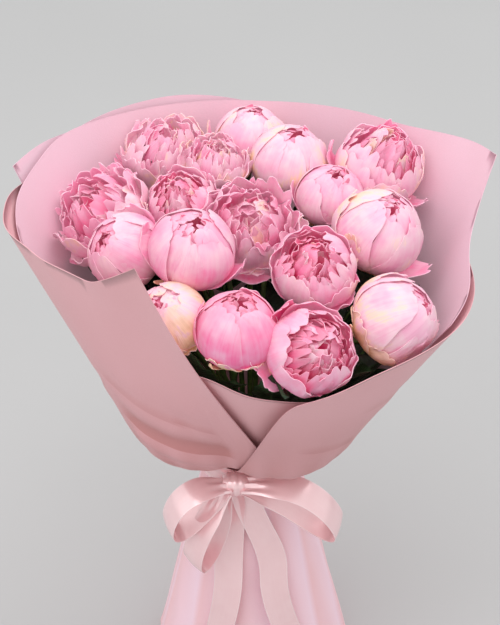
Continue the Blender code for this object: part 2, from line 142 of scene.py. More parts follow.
# Loose outer petals of a bloom: azimuth, angle from the foot to the tip, flare and width in radii, tone
LOOSE_PETALS = {
    "front_open": [(130, 112, 0.20, 1.25, 0.72), (185, 92, 0.34, 1.0, 0.42), (-150, 84, 0.22, 1.2, 0.40)],
    "mid_right_open": [(38, 112, 0.16, 0.9, -0.16), (-55, 100, 0.16, 1.3, 0.35), (175, 112, 0.06, 1.5, 0.2)],
    "right_ball": [(-22, 92, 0.34, 1.2, 0.30), (160, 128, 0.03, 1.6, 0.04)],
    "mid_left_ball": [(-22, 104, 0.24, 1.1, 0.34), (165, 112, 0.20, 1.1, 0.30)],
    "left_low": [(178, 88, 0.34, 1.3, 0.42), (-135, 92, 0.26, 1.2, 0.46), (75, 104, 0.16, 1.3, 0.26)],
    "right_low": [(10, 122, 0.12, 1.1, 0.24), (120, 132, 0.03, 1.6, 0.02), (-90, 92, 0.0, 1.4, -0.18),
                  (-150, 84, 0.0, 1.2, -0.12)],
    "top_right": [(-35, 92, 0.24, 1.0, 0.42), (175, 104, 0.20, 0.8, 0.40), (80, 120, 0.14, 0.9, 0.5)],
    "inner_right": [(165, 106, 0.12, 1.6, 0.30), (-55, 108, 0.10, 1.5, 0.36)],
    "front_ball": [(170, 130, 0.02, 1.2, 0.62), (70, 138, 0.03, 1.2, 0.2), (-118, 78, 0.0, 1.0, -0.25),
                   (-62, 72, 0.0, 0.9, -0.2)],
    "front_left_bud": [(-100, 84, 0.0, 1.2, -0.2), (-20, 96, 0.0, 1.2, -0.15), (-60, 74, 0.02, 0.7, -0.3)],
    "top_right_mid": [(15, 106, 0.20, 0.9, 0.25), (75, 126, 0.10, 0.9, 0.3)],
    "top_mid": [(172, 112, 0.24, 0.7, 0.06), (95, 118, 0.16, 0.9, 0.2)],
    "inner_left": [(30, 112, 0.14, 1.2, 0.32), (-160, 120, 0.03, 1.0, 0.06)],
    "inner_back": [(95, 108, 0.18, 1.0, 0.2), (-60, 116, 0.06, 1.2, 0.08)],
    "centre_open": [(-90, 92, 0.22, 1.7, 0.40), (-25, 90, 0.26, 1.4, 0.42), (-160, 92, 0.24, 1.4, 0.36)],
    "left_open": [(150, 88, 0.30, 1.2, 0.46), (-150, 84, 0.32, 1.3, 0.50), (75, 94, 0.2, 1.4, 0.36)],
    "top_left_open": [(170, 92, 0.28, 1.1, 0.42), (60, 96, 0.24, 1.0, 0.4)],
}

# Creases in the wrap: azimuth and height of both ends, depth, and width of the shaded side above
CREASES = [
    (-156, 0.092, -96, 0.050, 0.0050, 0.030),
    (-160, 0.140, -118, 0.098, 0.0016, 0.016),
    (-140, 0.048, -104, 0.022, 0.0016, 0.010),
    (-128, 0.110, -106, 0.092, 0.0016, 0.012),
    (-72, 0.090, -30, 0.060, 0.0014, 0.016),
    (-50, 0.130, -5, 0.110, 0.0012, 0.018),
    (60, 0.110, 110, 0.060, 0.0020, 0.014),
    (95, 0.060, 135, 0.120, 0.0020, 0.014),
    (15, 0.120, 60, 0.050, 0.0018, 0.012),
    (160, 0.060, 205, 0.120, 0.0020, 0.014),
]
CREASE_SHADE = 200            # how much deeper the paper looks for each metre of a crease's depth
CREASE_BULGE = 0.020          # how far a crease's soft bulge reaches on each side

PAPER_LEVELS = 3              # times that a solid sheet is subdivided
PAPER_CREASE = 54             # degrees at which the edge of a solid sheet stays crisp
STEM_CREASE = 80              # the same for the edge of a stem's cut end
PAINTED_SHADE_LOW = 0.02               # the wrap has its full painted shade up to here above the tie,
PAINTED_SHADE_HIGH = 0.20              # and none from here up
PAINTED_SHADE_SHARE = 0.42             # share of the fold colour where the painted shade is full

# Gathers run up from the tie, and longer waves cross the wrap above them
GATHERS = 23
GATHER_REACH = 0.035
GATHER_DEPTH = 0.0011
FINE_GATHERS = 41
FINE_GATHER_DEPTH = 0.0006
WAVES = 4
WAVE_SLANT = 20               # radians that a wave turns by for each metre of height
WAVE_DEPTH = 0.0010

# Pleats of the skirt: each lies flat for most of its width and turns back over the rest
PLEATS = 11
PLEAT_FLAT = 0.82
PLEAT_DEPTH = 0.0016
RIPPLES = 17
RIPPLE_SLANT = 40
RIPPLE_DEPTH = 0.0008

# The wrap's wall is measured in cells of this many degrees and this height
CELL_TURN = 4
CELL_COLUMNS = 360 // CELL_TURN
CELL_RISE = 0.006
CELL_ROWS = 60
LEAF_CLEARANCE = 0.005        # between a leaf and the wrap
PETAL_CLEARANCE = 0.002       # between a petal and the wrap

# Heights above the tie at which a solid leaf's middle is found
LEAF_LEVELS = (-0.022, 0.009, 0.030, 0.055, 0.080, 0.110, 0.140, 0.170, 0.193)
LEVEL_REACH = 0.006           # a point this near a level belongs to it
STALK_LEVELS = 7              # levels that the stalk passes
STALK_RADIUS = 0.0016
STALK_TAPER = 0.0001          # how much thinner the stalk is at each level
BLADE_SHARE = 0.42            # width of a leaflet as a share of its length
BLADE_THICKNESS = 0.0005
# Leaflets: level that it grows from, how far it spreads sideways, share of the full length
END_LEAFLET = (6, 0.0, 1.0)
PAIRED_LEAFLETS = [(6, 0.75, 0.85), (5, 1.1, 0.9), (4, 1.5, 0.75), (5, 0.35, 0.8), (4, 0.8, 0.8)]

# Loop: where it leaves the knot and its far end, both from the tie, the way its upper strand faces, half
# its depth, and how far its middle stands up
LOOPS = {
    "ribbon_loop_left": (
        (-0.020, -0.062, 0.005), (-0.072, -0.074, -0.040), (-0.45, -0.35, 0.80), 0.020, 0.011),
    "ribbon_loop_left_lower": (
        (-0.022, -0.061, -0.002), (-0.050, -0.076, -0.082), (-0.65, -0.55, 0.35), 0.013, 0.0),
    "ribbon_loop_right": (
        (-0.005, -0.062, 0.005), (0.080, -0.072, -0.040), (0.30, -0.40, 0.86), 0.021, 0.014),
}
LOOP_ROWS = 60
LOOP_PINCH = 0.35             # share of a loop's length over which its gathers open out

# Tail: sideways place at the knot, half way and at the end, and the end's height above the tie
TAILS = {
    "ribbon_tail_left": (-0.016, -0.020, -0.036, -0.232),
    "ribbon_tail_right": (-0.007, 0.022, 0.048, -0.238),
}
TAIL_ROWS = 70
TAIL_TOP = 0.004              # height of a tail's start above the tie
TAIL_BEND = 0.45              # how far down a tail its half-way place is
TAIL_PINCH = 0.14             # share of a tail's length over which its gathers open out
TAIL_OFF_SKIRT = 0.0068       # between a tail and the skirt
SKIRT_WAIST = 0.0435          # the skirt's distance from the axis at its top
SKIRT_HEM = 0.096             # and at the floor
SKIRT_TOP = -0.010            # height of the skirt's top above the tie
KNOT_FRONT = 0.0655           # distance from the axis at which the tails start

BAND_ROWS = 121
KNOT_RINGS = 14
KNOT_SIDES = 36
KNOT_SHARES = Vector((0.40, 0.85, 0.46))     # reach of the knot each way, as shares of the solid knot
TWINE_TURNS = 6
TWINE_STEPS = 48              # to a turn

AIM_HEIGHT = 0.157            # what the camera and the lights look at, above the tie
FRAME_WIDTH = 0.55            # width that the camera takes in, at what it looks at
SENSOR_WIDTH = 36
FLOOR_WIDTH = 12
SKY_STRENGTH = 0.88
# Light: where it hangs, its width, and the stage's strength that it has
LIGHTS = {
    "key": ((-0.35, -0.6, 2.2), 1.8, "key"),
    "fill": ((-1.4, -0.6, 1.2), 1.6, "fill"),
    "top": ((0.6, 0.5, 2.2), 1.8, "key"),
}


def from_srgb(red, green, blue):
    """Linear colour of an sRGB one given from 0 to 255."""
    parts = []
    for part in (red, green, blue):
        share = part / 255
        parts.append(share / 12.92 if share <= 0.04045 else ((share + 0.055) / 1.055) ** 2.4)
    return tuple(parts)


def colour_property(name, description, red, green, blue):
    return bpy.props.FloatVectorProperty(
        name=name, description=description, subtype="COLOR", size=3, min=0, max=1,
        default=from_srgb(red, green, blue))


def length_property(name, description, default):
    return bpy.props.FloatProperty(
        name=name, description=description, default=default, min=0, unit="LENGTH", precision=5)


class PetalSettings(bpy.types.PropertyGroup):
    """Colours and thickness of the petals."""

    blush: colour_property("Blush", "Colour of the palest petals", 239, 197, 208)
    pink: colour_property("Pink", "Colour of a middling petal", 237, 155, 189)
    deep: colour_property("Deep pink", "Colour of the deepest petals", 240, 92, 150)
    magenta: colour_property("Magenta", "Colour deep between the petals", 214, 34, 108)
    tan: colour_property("Tan", "Colour of the oldest outer petals", 226, 184, 142)
    cream: colour_property("Cream", "Colour at the foot of the petals", 248, 208, 176)
    lilac: colour_property("Lilac", "Cool tint at the tips", 250, 214, 228)
    thickness: length_property("Thickness", "Thickness of a petal", 0.0006)


class GreenSettings(bpy.types.PropertyGroup):
    """Colours of leaves, sepals and stems."""

    leaf: colour_property("Leaf", "Upper face of the leaves", 22, 52, 24)
    leaf_vein: colour_property("Leaf vein", "Ribs of the leaves", 52, 88, 42)
    sepal: colour_property("Sepal", "Green of the sepals", 178, 176, 118)
    sepal_blotch: colour_property("Sepal blotch", "Warm clouds on the sepals", 206, 140, 110)
    sepal_flush: colour_property("Sepal flush", "Dark red along the sides of the sepals", 140, 24, 60)
    stem: colour_property("Stem", "Skin of the stems", 92, 122, 58)
    pith: colour_property("Pith", "Cut ends of the stems", 208, 204, 160)
    leaflet_length: length_property("Leaflet length", "Length of the middle leaflet", 0.085)


class PaperSettings(bpy.types.PropertyGroup):
    """Colours and thickness of the wrapping paper."""

    wrap: colour_property("Wrap", "Paper round the blooms", 225, 189, 203)
    # Painted shade: a darker copy of the wrap's colour for the front sheets, whose outer faces look down,
    # away from the lights
    front: colour_property("Front", "Outer faces of the two front sheets", 226, 174, 180)
    # Painted shade: the colour that the folds, creases and low part of the wrap darken towards
    wrap_fold_shade: colour_property("Wrap folds", "Painted shade in the folds of the wrap", 196, 134, 134)
    skirt: colour_property("Skirt", "Paper round the stems", 245, 214, 228)
    # Painted shade: the colour that the turned-back side of each pleat of the skirt darkens towards
    skirt_fold_shade: colour_property("Skirt folds", "Painted shade in the pleats of the skirt", 236, 180, 180)
    thinning: length_property("Thinning", "How much is taken off each face of the solid sheets", 0.0003)


class RibbonSettings(bpy.types.PropertyGroup):
    """Colour and sizes of the ribbon and the twine."""

    satin: colour_property("Satin", "Face of the ribbon", 255, 220, 223)
    satin_shade: colour_property("Satin shade", "Weft seen across the sheen", 240, 190, 194)
    jute: colour_property("Jute", "Twine round the stems", 172, 142, 96)
    width: length_property("Width", "Width of the ribbon", 0.025)
    thickness: length_property("Thickness", "Thickness of the ribbon", 0.0004)
    twine: length_property("Twine", "Diameter of the twine", 0.0022)


class StageSettings(bpy.types.PropertyGroup):
    """Floor, lights and camera."""

    floor: colour_property("Floor", "Colour of the floor", 186, 186, 186)
    key: bpy.props.FloatProperty(
        name="Key light", description="Strength of the main light", default=13.5, min=0, unit="POWER")
    fill: bpy.props.FloatProperty(
        name="Fill light", description="Strength of the side light", default=3, min=0, unit="POWER")
    distance: length_property("Camera distance", "From the camera to what it looks at", 2.0)
    elevation: bpy.props.FloatProperty(
        name="Elevation", description="Height of the camera as an angle", default=math.radians(40),
        subtype="ANGLE")


# ---- small tools -----------------------------------------------------------------------------


def deselect_all():
    if bpy.context.mode != "OBJECT":
        bpy.ops.object.mode_set(mode="OBJECT")
    bpy.ops.object.select_all(action="DESELECT")


def make_active(obj):
    deselect_all()
    bpy.context.view_layer.objects.active = obj
    obj.select_set(True)


def shade(obj):
    """Smooth shading, with crisp edges where faces meet at more than 45 degrees."""
    make_active(obj)
    bpy.ops.object.shade_smooth_by_angle(angle=math.radians(45))


def apply_modifiers(obj):
    make_active(obj)
    for modifier in list(obj.modifiers):
        bpy.ops.object.modifier_apply(modifier=modifier.name)


def ease(low, high, x):
    """0 below low, 1 above high and a smooth step between, for numbers or arrays."""
    share = np.clip((x - low) / (high - low), 0, 1)
    return share * share * (3 - 2 * share)


def mesh_points(mesh):
    points = np.empty(len(mesh.vertices) * 3)
    mesh.vertices.foreach_get("co", points)
    return points.reshape(-1, 3)


def new_object(name, points, faces, materials, uv, tone=None):
    """A mesh object with a UV and, where it is given, a tone for each vertex."""
    mesh = bpy.data.meshes.new(name)
    mesh.from_pydata([tuple(point) for point in points], [], faces)
    layer = mesh.uv_layers.new(name="surface")
    corners = np.empty(len(mesh.loops), dtype=int)
    mesh.loops.foreach_get("vertex_index", corners)
    layer.data.foreach_set("uv", np.asarray(uv)[corners].ravel())
    if tone is not None:
        mesh.attributes.new("tone", "FLOAT", "POINT").data.foreach_set("value", np.asarray(tone))
    for material in materials:
        mesh.materials.append(material)
    obj = bpy.data.objects.new(name, mesh)
    bpy.context.scene.collection.objects.link(obj)
    mesh.shade_smooth()
    return obj


def thicken(obj, thickness, inner=0, rim=0):
    """Give a sheet its thickness. inner and rim count on from the first material."""
    solidify = obj.modifiers.new("Thickness", "SOLIDIFY")
    solidify.thickness = thickness
    solidify.offset = 0
    solidify.material_offset = inner
    solidify.material_offset_rim = rim
    apply_modifiers(obj)
    shade(obj)


def finish(obj, slot, *nodes):
    """Put a piece on the root body and hide the solid nodes that it stands for; slot is not used."""
    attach(obj, "root")
    if nodes:
        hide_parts(*nodes)


def solid_copy(node, name, levels, crease_angle):
    """The solid node's surface, merged, kept sharp at its rims and subdivided smooth."""
    mesh = frame["nodes"][node].data.copy()
    mesh.name = name
    mesh.materials.clear()
    obj = bpy.data.objects.new(name, mesh)
    bpy.context.scene.collection.objects.link(obj)
    make_active(obj)
    bpy.ops.object.mode_set(mode="EDIT")
    bpy.ops.mesh.select_all(action="SELECT")
    bpy.ops.mesh.remove_doubles(threshold=0.00002)
    bpy.ops.mesh.tris_convert_to_quads(
        face_threshold=math.radians(50), shape_threshold=math.pi, topology_influence=1.2)
    bpy.ops.mesh.select_all(action="DESELECT")
    bpy.ops.mesh.select_mode(type="EDGE")
    bpy.ops.mesh.edges_select_sharp(sharpness=math.radians(crease_angle))
    bpy.ops.transform.edge_crease(value=1.0)
    bpy.ops.object.mode_set(mode="OBJECT")
    subdivide = obj.modifiers.new("Smooth", "SUBSURF")
    subdivide.levels = levels
    subdivide.render_levels = levels
    apply_modifiers(obj)
    shade(obj)
    return obj


# ---- materials -------------------------------------------------------------------------------


class Graph:
    """Adds and joins the nodes of one material or node group."""

    def __init__(self, tree):
        self.tree = tree

    def add(self, kind, **settings):
        node = self.tree.nodes.new(kind)
        for key, value in settings.items():
            setattr(node, key, value)
        return node

    def join(self, source, target):
        self.tree.links.new(source, target)

    def feed(self, target, value):
        """Join a socket, or set a plain number or colour."""
        if isinstance(value, bpy.types.NodeSocket):
            self.join(value, target)
        else:
            target.default_value = value

    def math(self, operation, first, second=0.0, third=0.0):
        node = self.add("ShaderNodeMath", operation=operation)
        for socket, value in zip(node.inputs, (first, second, third)):
            self.feed(socket, value)
        return node.outputs[0]

    def step(self, value, low, high):
        node = self.add("ShaderNodeMapRange", interpolation_type="SMOOTHSTEP")
        for name, given in (("Value", value), ("From Min", low), ("From Max", high)):
            self.feed(node.inputs[name], given)
        return node.outputs["Result"]

    def mix(self, share, first, second):
        node = self.add("ShaderNodeMix", data_type="RGBA")
        for index, value in ((0, share), (6, first), (7, second)):
            self.feed(node.inputs[index], value)
        return node.outputs[2]

    def ramp(self, value, stops):
        node = self.add("ShaderNodeValToRGB")
        elements = node.color_ramp.elements
        while len(elements) < len(stops):
            elements.new(0.5)
        for element, (place, colour) in zip(elements, stops):
            element.position = place
            element.color = (*colour, 1)
        self.feed(node.inputs["Fac"], value)
        return node.outputs["Color"]

    def split(self, vector):
        node = self.add("ShaderNodeSeparateXYZ")
        self.join(vector, node.inputs[0])
        return node.outputs

    def surface(self):
        return self.add("ShaderNodeUVMap", uv_map="surface").outputs["UV"]

    def place(self):
        return self.add("ShaderNodeTexCoord").outputs["Object"]

    def attribute(self, name):
        return self.add("ShaderNodeAttribute", attribute_name=name).outputs["Fac"]

    def bump(self, height, distance, strength):
        node = self.add("ShaderNodeBump")
        for name, value in (("Height", height), ("Distance", distance), ("Strength", strength)):
            self.feed(node.inputs[name], value)
        return node.outputs["Normal"]

    def group(self, tree, **values):
        node = self.add("ShaderNodeGroup", node_tree=tree)
        for name, value in values.items():
            self.feed(node.inputs[name], value)
        return node.outputs[0]


def new_group(name, inputs):
    """An empty node group that puts out one mask. Returns its graph, inputs and output socket."""
    tree = bpy.data.node_groups.new(name, "ShaderNodeTree")
    for key, kind, default in inputs:
        socket = tree.interface.new_socket(key, in_out="INPUT", socket_type=kind)
        if default is not None:
            socket.default_value = default
    tree.interface.new_socket("Mask", in_out="OUTPUT", socket_type="NodeSocketFloat")
    graph = Graph(tree)
    sources = graph.add("NodeGroupInput").outputs
    target = graph.add("NodeGroupOutput").inputs["Mask"]
    return graph, sources, target


def streaks_group():
    """Fine lines that run along a surface's second UV direction."""
    tree = bpy.data.node_groups.get("Streaks")
    if tree:
        return tree
    graph, sources, target = new_group("Streaks", [
        ("UV", "NodeSocketVector", None), ("Lines", "NodeSocketFloat", 30.0),
        ("Breaks", "NodeSocketFloat", 2.0)])
    across, along, _ = graph.split(sources["UV"])
    joined = graph.add("ShaderNodeCombineXYZ")
    graph.join(graph.math("MULTIPLY", across, sources["Lines"]), joined.inputs[0])
    graph.join(graph.math("MULTIPLY", along, sources["Breaks"]), joined.inputs[1])
    noise = graph.add("ShaderNodeTexNoise")
    noise.inputs["Scale"].default_value = 1
    noise.inputs["Detail"].default_value = 3
    graph.join(joined.outputs[0], noise.inputs["Vector"])
    graph.join(graph.step(noise.outputs[0], 0.3, 0.7), target)
    return graph.tree


def mottle_group():
    """Soft clouds of a given number to the metre."""
    tree = bpy.data.node_groups.get("Mottle")
    if tree:
        return tree
    graph, sources, target = new_group("Mottle", [
        ("Place", "NodeSocketVector", None), ("Scale", "NodeSocketFloat", 40.0),
        ("Detail", "NodeSocketFloat", 3.0)])
    noise = graph.add("ShaderNodeTexNoise")
    graph.join(sources["Place"], noise.inputs["Vector"])
    graph.join(sources["Scale"], noise.inputs["Scale"])
    graph.join(sources["Detail"], noise.inputs["Detail"])
    graph.join(graph.step(noise.outputs[0], 0.3, 0.7), target)
    return graph.tree


def crease_group():
    """The shaded side of a crease in paper: deep along its line and fading upwards."""
    tree = bpy.data.node_groups.get("Crease")
    if tree:
        return tree
    graph, sources, target = new_group("Crease", [
        ("Place", "NodeSocketVector", None), ("Middle", "NodeSocketFloat", 0.0),
        ("Half turn", "NodeSocketFloat", 0.3), ("Height", "NodeSocketFloat", 0.3),
        ("Rise", "NodeSocketFloat", 0.0), ("Width", "NodeSocketFloat", 0.02)])
    turned = graph.add("ShaderNodeVectorRotate", rotation_type="Z_AXIS")
    graph.join(sources["Place"], turned.inputs["Vector"])
    graph.join(graph.math("MULTIPLY", sources["Middle"], -1.0), turned.inputs["Angle"])
    x, y, z = graph.split(turned.outputs[0])
    share = graph.math("DIVIDE", graph.math("ARCTAN2", y, x), sources["Half turn"])
    line = graph.math("MULTIPLY_ADD", share, sources["Rise"], sources["Height"])
    above = graph.math("SUBTRACT", z, line)
    shade = graph.step(above, sources["Width"], 0.0)
    shade = graph.math("MULTIPLY", shade, graph.step(above, -0.0008, 0.0004))
    ends = graph.step(graph.math("ABSOLUTE", share), 1.0, 0.55)
    graph.join(graph.math("MULTIPLY", shade, ends), target)
    return graph.tree


def new_material(name, roughness, **constants):
    """A Principled material. Returns it, its graph and its shader node."""
    material = bpy.data.materials.new(name)
    material.use_nodes = True
    graph = Graph(material.node_tree)
    shader = material.node_tree.nodes["Principled BSDF"]
    shader.inputs["Roughness"].default_value = roughness
    for key, value in constants.items():
        shader.inputs[key.replace("_", " ")].default_value = value
    return material, graph, shader


def petal_material(name, foot, foot_reach, tone_shift, tip_share, glow):
    """A petal's face: its foot's colour runs into a body of the petal's own tone, and a cool tip."""
    colours = bpy.context.scene.peony_petals
    material, graph, shader = new_material(
        name, 0.5, Subsurface_Weight=0.12, Subsurface_Scale=0.003, Specular_IOR_Level=0.22,
        Emission_Strength=glow)
    shader.inputs["Subsurface Radius"].default_value = (1.0, 0.8, 0.9)
    surface = graph.surface()
    along = graph.split(surface)[1]
    veins = graph.group(streaks_group(), UV=surface, Lines=26.0, Breaks=1.6)
    clouds = graph.group(mottle_group(), Place=graph.place(), Scale=55.0, Detail=2.0)
    tone = graph.math("ADD", graph.attribute("tone"), tone_shift)
    tone = graph.math("MULTIPLY_ADD", veins, 0.10, tone)
    tone = graph.math("MULTIPLY_ADD", clouds, 0.30, tone)
    tone = graph.math("MULTIPLY", tone, 0.85)
    body = graph.ramp(tone, [(0.0, colours.tan), (0.13, colours.cream), (0.23, colours.blush),
                             (0.50, colours.pink), (0.78, colours.deep), (0.98, colours.magenta)])
    tip = graph.math("MULTIPLY", graph.step(along, 0.62, 1.0), tip_share)
    body = graph.mix(tip, body, (*colours.lilac, 1))
    root = graph.math("SUBTRACT", 1.0, graph.step(along, 0.06, foot_reach))
    body = graph.mix(root, body, (*foot, 1))
    graph.join(body, shader.inputs["Base Color"])
    graph.join(body, shader.inputs["Emission Color"])     # painted glow of the petal's own colour, for light that comes through from behind
    graph.join(graph.bump(veins, 0.0004, 0.35), shader.inputs["Normal"])
    return material


def petal_materials():
    """Materials of the outer face, the inner face, which is deepest at its foot and has the strongest
    painted glow to lift the hollows, and the edge.
    """
    colours = bpy.context.scene.peony_petals
    return [
        petal_material("petal outer face", colours.cream, 0.42, 0.0, 0.40, 0.02),
        petal_material("petal inner face", colours.deep, 0.60, 0.08, 0.30, 0.15),
        petal_material("petal edge", colours.cream, 0.30, -0.03, 0.55, 0.08),
    ]


def leaf_material():
    """A dark glossy blade with a pale midrib and faint side veins."""
    greens = bpy.context.scene.peony_greens
    material, graph, shader = new_material("leaf blade", 0.38, Subsurface_Weight=0.05,
                                           Subsurface_Scale=0.002, Coat_Weight=0.15)
    surface = graph.surface()
    across = graph.split(surface)[0]
    side = graph.math("ABSOLUTE", graph.math("SUBTRACT", across, 0.5))
    midrib = graph.math("SUBTRACT", 1.0, graph.step(side, 0.0, 0.05))
    veins = graph.group(streaks_group(), UV=surface, Lines=4.0, Breaks=26.0)
    clouds = graph.group(mottle_group(), Place=graph.place(), Scale=70.0, Detail=4.0)
    dark = tuple(part * 0.55 for part in greens.leaf)
    body = graph.mix(clouds, (*dark, 1), (*greens.leaf, 1))
    body = graph.mix(graph.math("MULTIPLY", veins, 0.3), body, (*greens.leaf_vein, 1))
    graph.join(graph.mix(midrib, body, (*greens.leaf_vein, 1)), shader.inputs["Base Color"])
    graph.join(graph.bump(graph.math("ADD", veins, midrib), 0.0006, 0.5), shader.inputs["Normal"])
    return material


def sepal_material():
    """Green that pales to cream towards the tip, with a red flush along the sides."""
    greens = bpy.context.scene.peony_greens
    petals = bpy.context.scene.peony_petals
    material, graph, shader = new_material("sepal", 0.45, Subsurface_Weight=0.1, Subsurface_Scale=0.002)
    surface = graph.surface()
    across, along, _ = graph.split(surface)
    lines = graph.group(streaks_group(), UV=surface, Lines=14.0, Breaks=1.2)
    clouds = graph.group(mottle_group(), Place=graph.place(), Scale=90.0, Detail=3.0)
    body = graph.mix(graph.step(along, 0.1, 0.8), (*greens.sepal, 1), (*petals.cream, 1))
    body = graph.mix(graph.math("MULTIPLY", clouds, 0.35), body, (*greens.sepal_blotch, 1))
    edge = graph.step(graph.math("ABSOLUTE", graph.math("SUBTRACT", across, 0.5)), 0.40, 0.5)
    flush = graph.math("MULTIPLY", graph.math("MULTIPLY", edge, lines), 0.9)
    graph.join(graph.mix(flush, body, (*greens.sepal_flush, 1)), shader.inputs["Base Color"])
    graph.join(graph.bump(lines, 0.0004, 0.5), shader.inputs["Normal"])
    return material


def stem_material():
    """Mottled green skin, with pale pith where a stem is cut at the floor."""
    greens = bpy.context.scene.peony_greens
    material, graph, shader = new_material("stem", 0.45, Coat_Weight=0.1)
    place = graph.place()
    height = graph.split(place)[2]
    clouds = graph.group(mottle_group(), Place=place, Scale=160.0, Detail=4.0)
    dark = tuple(part * 0.5 for part in greens.stem)
    skin = graph.mix(clouds, (*dark, 1), (*greens.stem, 1))
    cut = graph.math("SUBTRACT", 1.0, graph.step(height, 0.0002, 0.0008))
    graph.join(graph.mix(cut, skin, (*greens.pith, 1)), shader.inputs["Base Color"])
    graph.join(graph.bump(clouds, 0.0003, 0.4), shader.inputs["Normal"])
    return material


def paper_material(name, colour, fold, glow, creases=()):
    """Smooth matt paper with a faint fibre and a faint painted glow, with painted shade in its folds and,
    where it has creases, along the creases and low in the wrap near the tie.
    """
    material, graph, shader = new_material(name, 0.62, Sheen_Weight=0.08, Specular_IOR_Level=0.3,
                                           Emission_Strength=glow)
    place = graph.place()
    clouds = graph.group(mottle_group(), Place=place, Scale=9.0, Detail=2.0)
    fibre = graph.group(mottle_group(), Place=place, Scale=900.0, Detail=5.0)
    # Painted shade: the fold attribute is darkest in the hollows of the gathers and on the turned-back side
    # of the skirt's pleats, and each crease adds painted shade along its shaded side
    folds = graph.attribute("fold")
    for start, low, end, high, depth, width in creases:
        crease = graph.group(crease_group(), **{
            "Place": place,
            "Middle": math.radians(start + end) / 2,
            "Half turn": math.radians(end - start) / 2,
            "Height": TIE + (low + high) / 2,
            "Rise": (high - low) / 2,
            "Width": width})
        folds = graph.math("MULTIPLY_ADD", crease, depth * CREASE_SHADE, folds)
    # The fold colour comes in through real random clouds and fibre, and through the painted shade of the
    # folds
    share = graph.math("MULTIPLY_ADD", clouds, 0.12, graph.math("MULTIPLY", folds, 0.9))
    share = graph.math("MULTIPLY_ADD", fibre, 0.05, share)
    raised = 1.0
    # Painted shade low in the wrap: full near the tie and gone higher up
    if creases:
        raised = graph.step(graph.split(place)[2], TIE + PAINTED_SHADE_LOW, TIE + PAINTED_SHADE_HIGH)
        share = graph.math("MULTIPLY_ADD", graph.math("SUBTRACT", 1.0, raised), PAINTED_SHADE_SHARE, share)
    body = graph.mix(share, (*colour, 1), (*fold, 1))
    graph.join(body, shader.inputs["Base Color"])
    # Painted glow of the paper's own colour, for light that comes through the thin paper, though not low in
    # the wrap
    graph.join(graph.mix(raised, (0, 0, 0, 1), body), shader.inputs["Emission Color"])
    graph.join(graph.math("MULTIPLY_ADD", fibre, 0.12, 0.55), shader.inputs["Roughness"])
    relief = graph.math("MULTIPLY_ADD", folds, -6.0, fibre)
    graph.join(graph.bump(relief, 0.0002, 0.25), shader.inputs["Normal"])
    return material


def satin_material():
    """Satin: long floats along the ribbon, a selvedge at each side and a soft sheen."""
    colours = bpy.context.scene.peony_ribbon
    material, graph, shader = new_material("satin", 0.25, Sheen_Weight=0.15, Sheen_Roughness=0.3,
                                           Specular_IOR_Level=0.8, Metallic=0.4)
    surface = graph.surface()
    across = graph.split(surface)[0]
    floats = graph.group(streaks_group(), UV=surface, Lines=22.0, Breaks=0.8)
    clouds = graph.group(mottle_group(), Place=graph.place(), Scale=60.0, Detail=2.0)
    side = graph.math("ABSOLUTE", graph.math("SUBTRACT", across, 0.5))
    selvedge = graph.step(side, 0.46, 0.475)
    share = graph.math("MULTIPLY_ADD", floats, 0.08, graph.math("MULTIPLY", clouds, 0.15))
    body = graph.mix(share, (*colours.satin, 1), (*colours.satin_shade, 1))
    pale = tuple(0.5 + part / 2 for part in colours.satin)
    graph.join(graph.mix(graph.math("MULTIPLY", selvedge, 0.4), body, (*pale, 1)),
               shader.inputs["Base Color"])
    graph.join(graph.bump(selvedge, 0.0001, 0.2), shader.inputs["Normal"])
    return material


def jute_material():
    """Hairy twisted strands."""
    colours = bpy.context.scene.peony_ribbon
    material, graph, shader = new_material("jute", 0.9, Sheen_Weight=0.2)
    surface = graph.surface()
    across, along, _ = graph.split(surface)
    slant = graph.math("MULTIPLY_ADD", across, 1.0, graph.math("MULTIPLY", along, 60.0))
    strands = graph.math("ABSOLUTE", graph.math("SINE", graph.math("MULTIPLY", slant, math.tau)))
    hairs = graph.group(mottle_group(), Place=graph.place(), Scale=1500.0, Detail=4.0)
    # Painted shade: darker in the grooves between the twisted strands, while the hairs vary at random
    share = graph.math("MULTIPLY_ADD", hairs, 0.4, graph.math("MULTIPLY", strands, 0.4))
    dark = tuple(part * 0.45 for part in colours.jute)
    graph.join(graph.mix(share, (*dark, 1), (*colours.jute, 1)), shader.inputs["Base Color"])
    graph.join(graph.bump(graph.math("ADD", strands, hairs), 0.0005, 0.7), shader.inputs["Normal"])
    return material


# ---- petals ----------------------------------------------------------------------------------


def petal_outline(share):
    """Half width of a petal along its length, from its narrow foot to its broad shoulders."""
    if share < 0.62:
        return 0.30 + 0.70 * math.sin(share / 0.62 * math.pi / 2)
    return 1 - 0.22 * ((share - 0.62) / 0.38) ** 2


def flat_blank(name, columns, rows, outline):
    """A flat grid one long, its rows narrowed to an outline. Returns across, along, half width, faces."""
    deselect_all()
    bpy.ops.mesh.primitive_grid_add(x_subdivisions=columns, y_subdivisions=rows, size=2)
    blank = bpy.context.active_object
    blank.name = name
    square = mesh_points(blank.data)
    bpy.ops.object.mode_set(mode="EDIT")
    bpy.ops.mesh.select_mode(type="VERT")
    for level in sorted(set(np.round(square[:, 1], 5))):
        bpy.ops.mesh.select_all(action="DESELECT")
        mesh = bmesh.from_edit_mesh(blank.data)
        for vertex in mesh.verts:
            vertex.select_set(bool(abs(vertex.co.y - level) < 1e-4))
        mesh.select_flush(True)
        width = outline((level + 1) / 2)
        bpy.ops.transform.resize(value=(width, 1, 1), center_override=(0, level, 0))
    bpy.ops.object.mode_set(mode="OBJECT")
    shaped = mesh_points(blank.data)
    faces = [tuple(face.vertices) for face in blank.data.polygons]
    bpy.data.objects.remove(blank)
    return square[:, 0], (square[:, 1] + 1) / 2, shaped[:, 0], faces


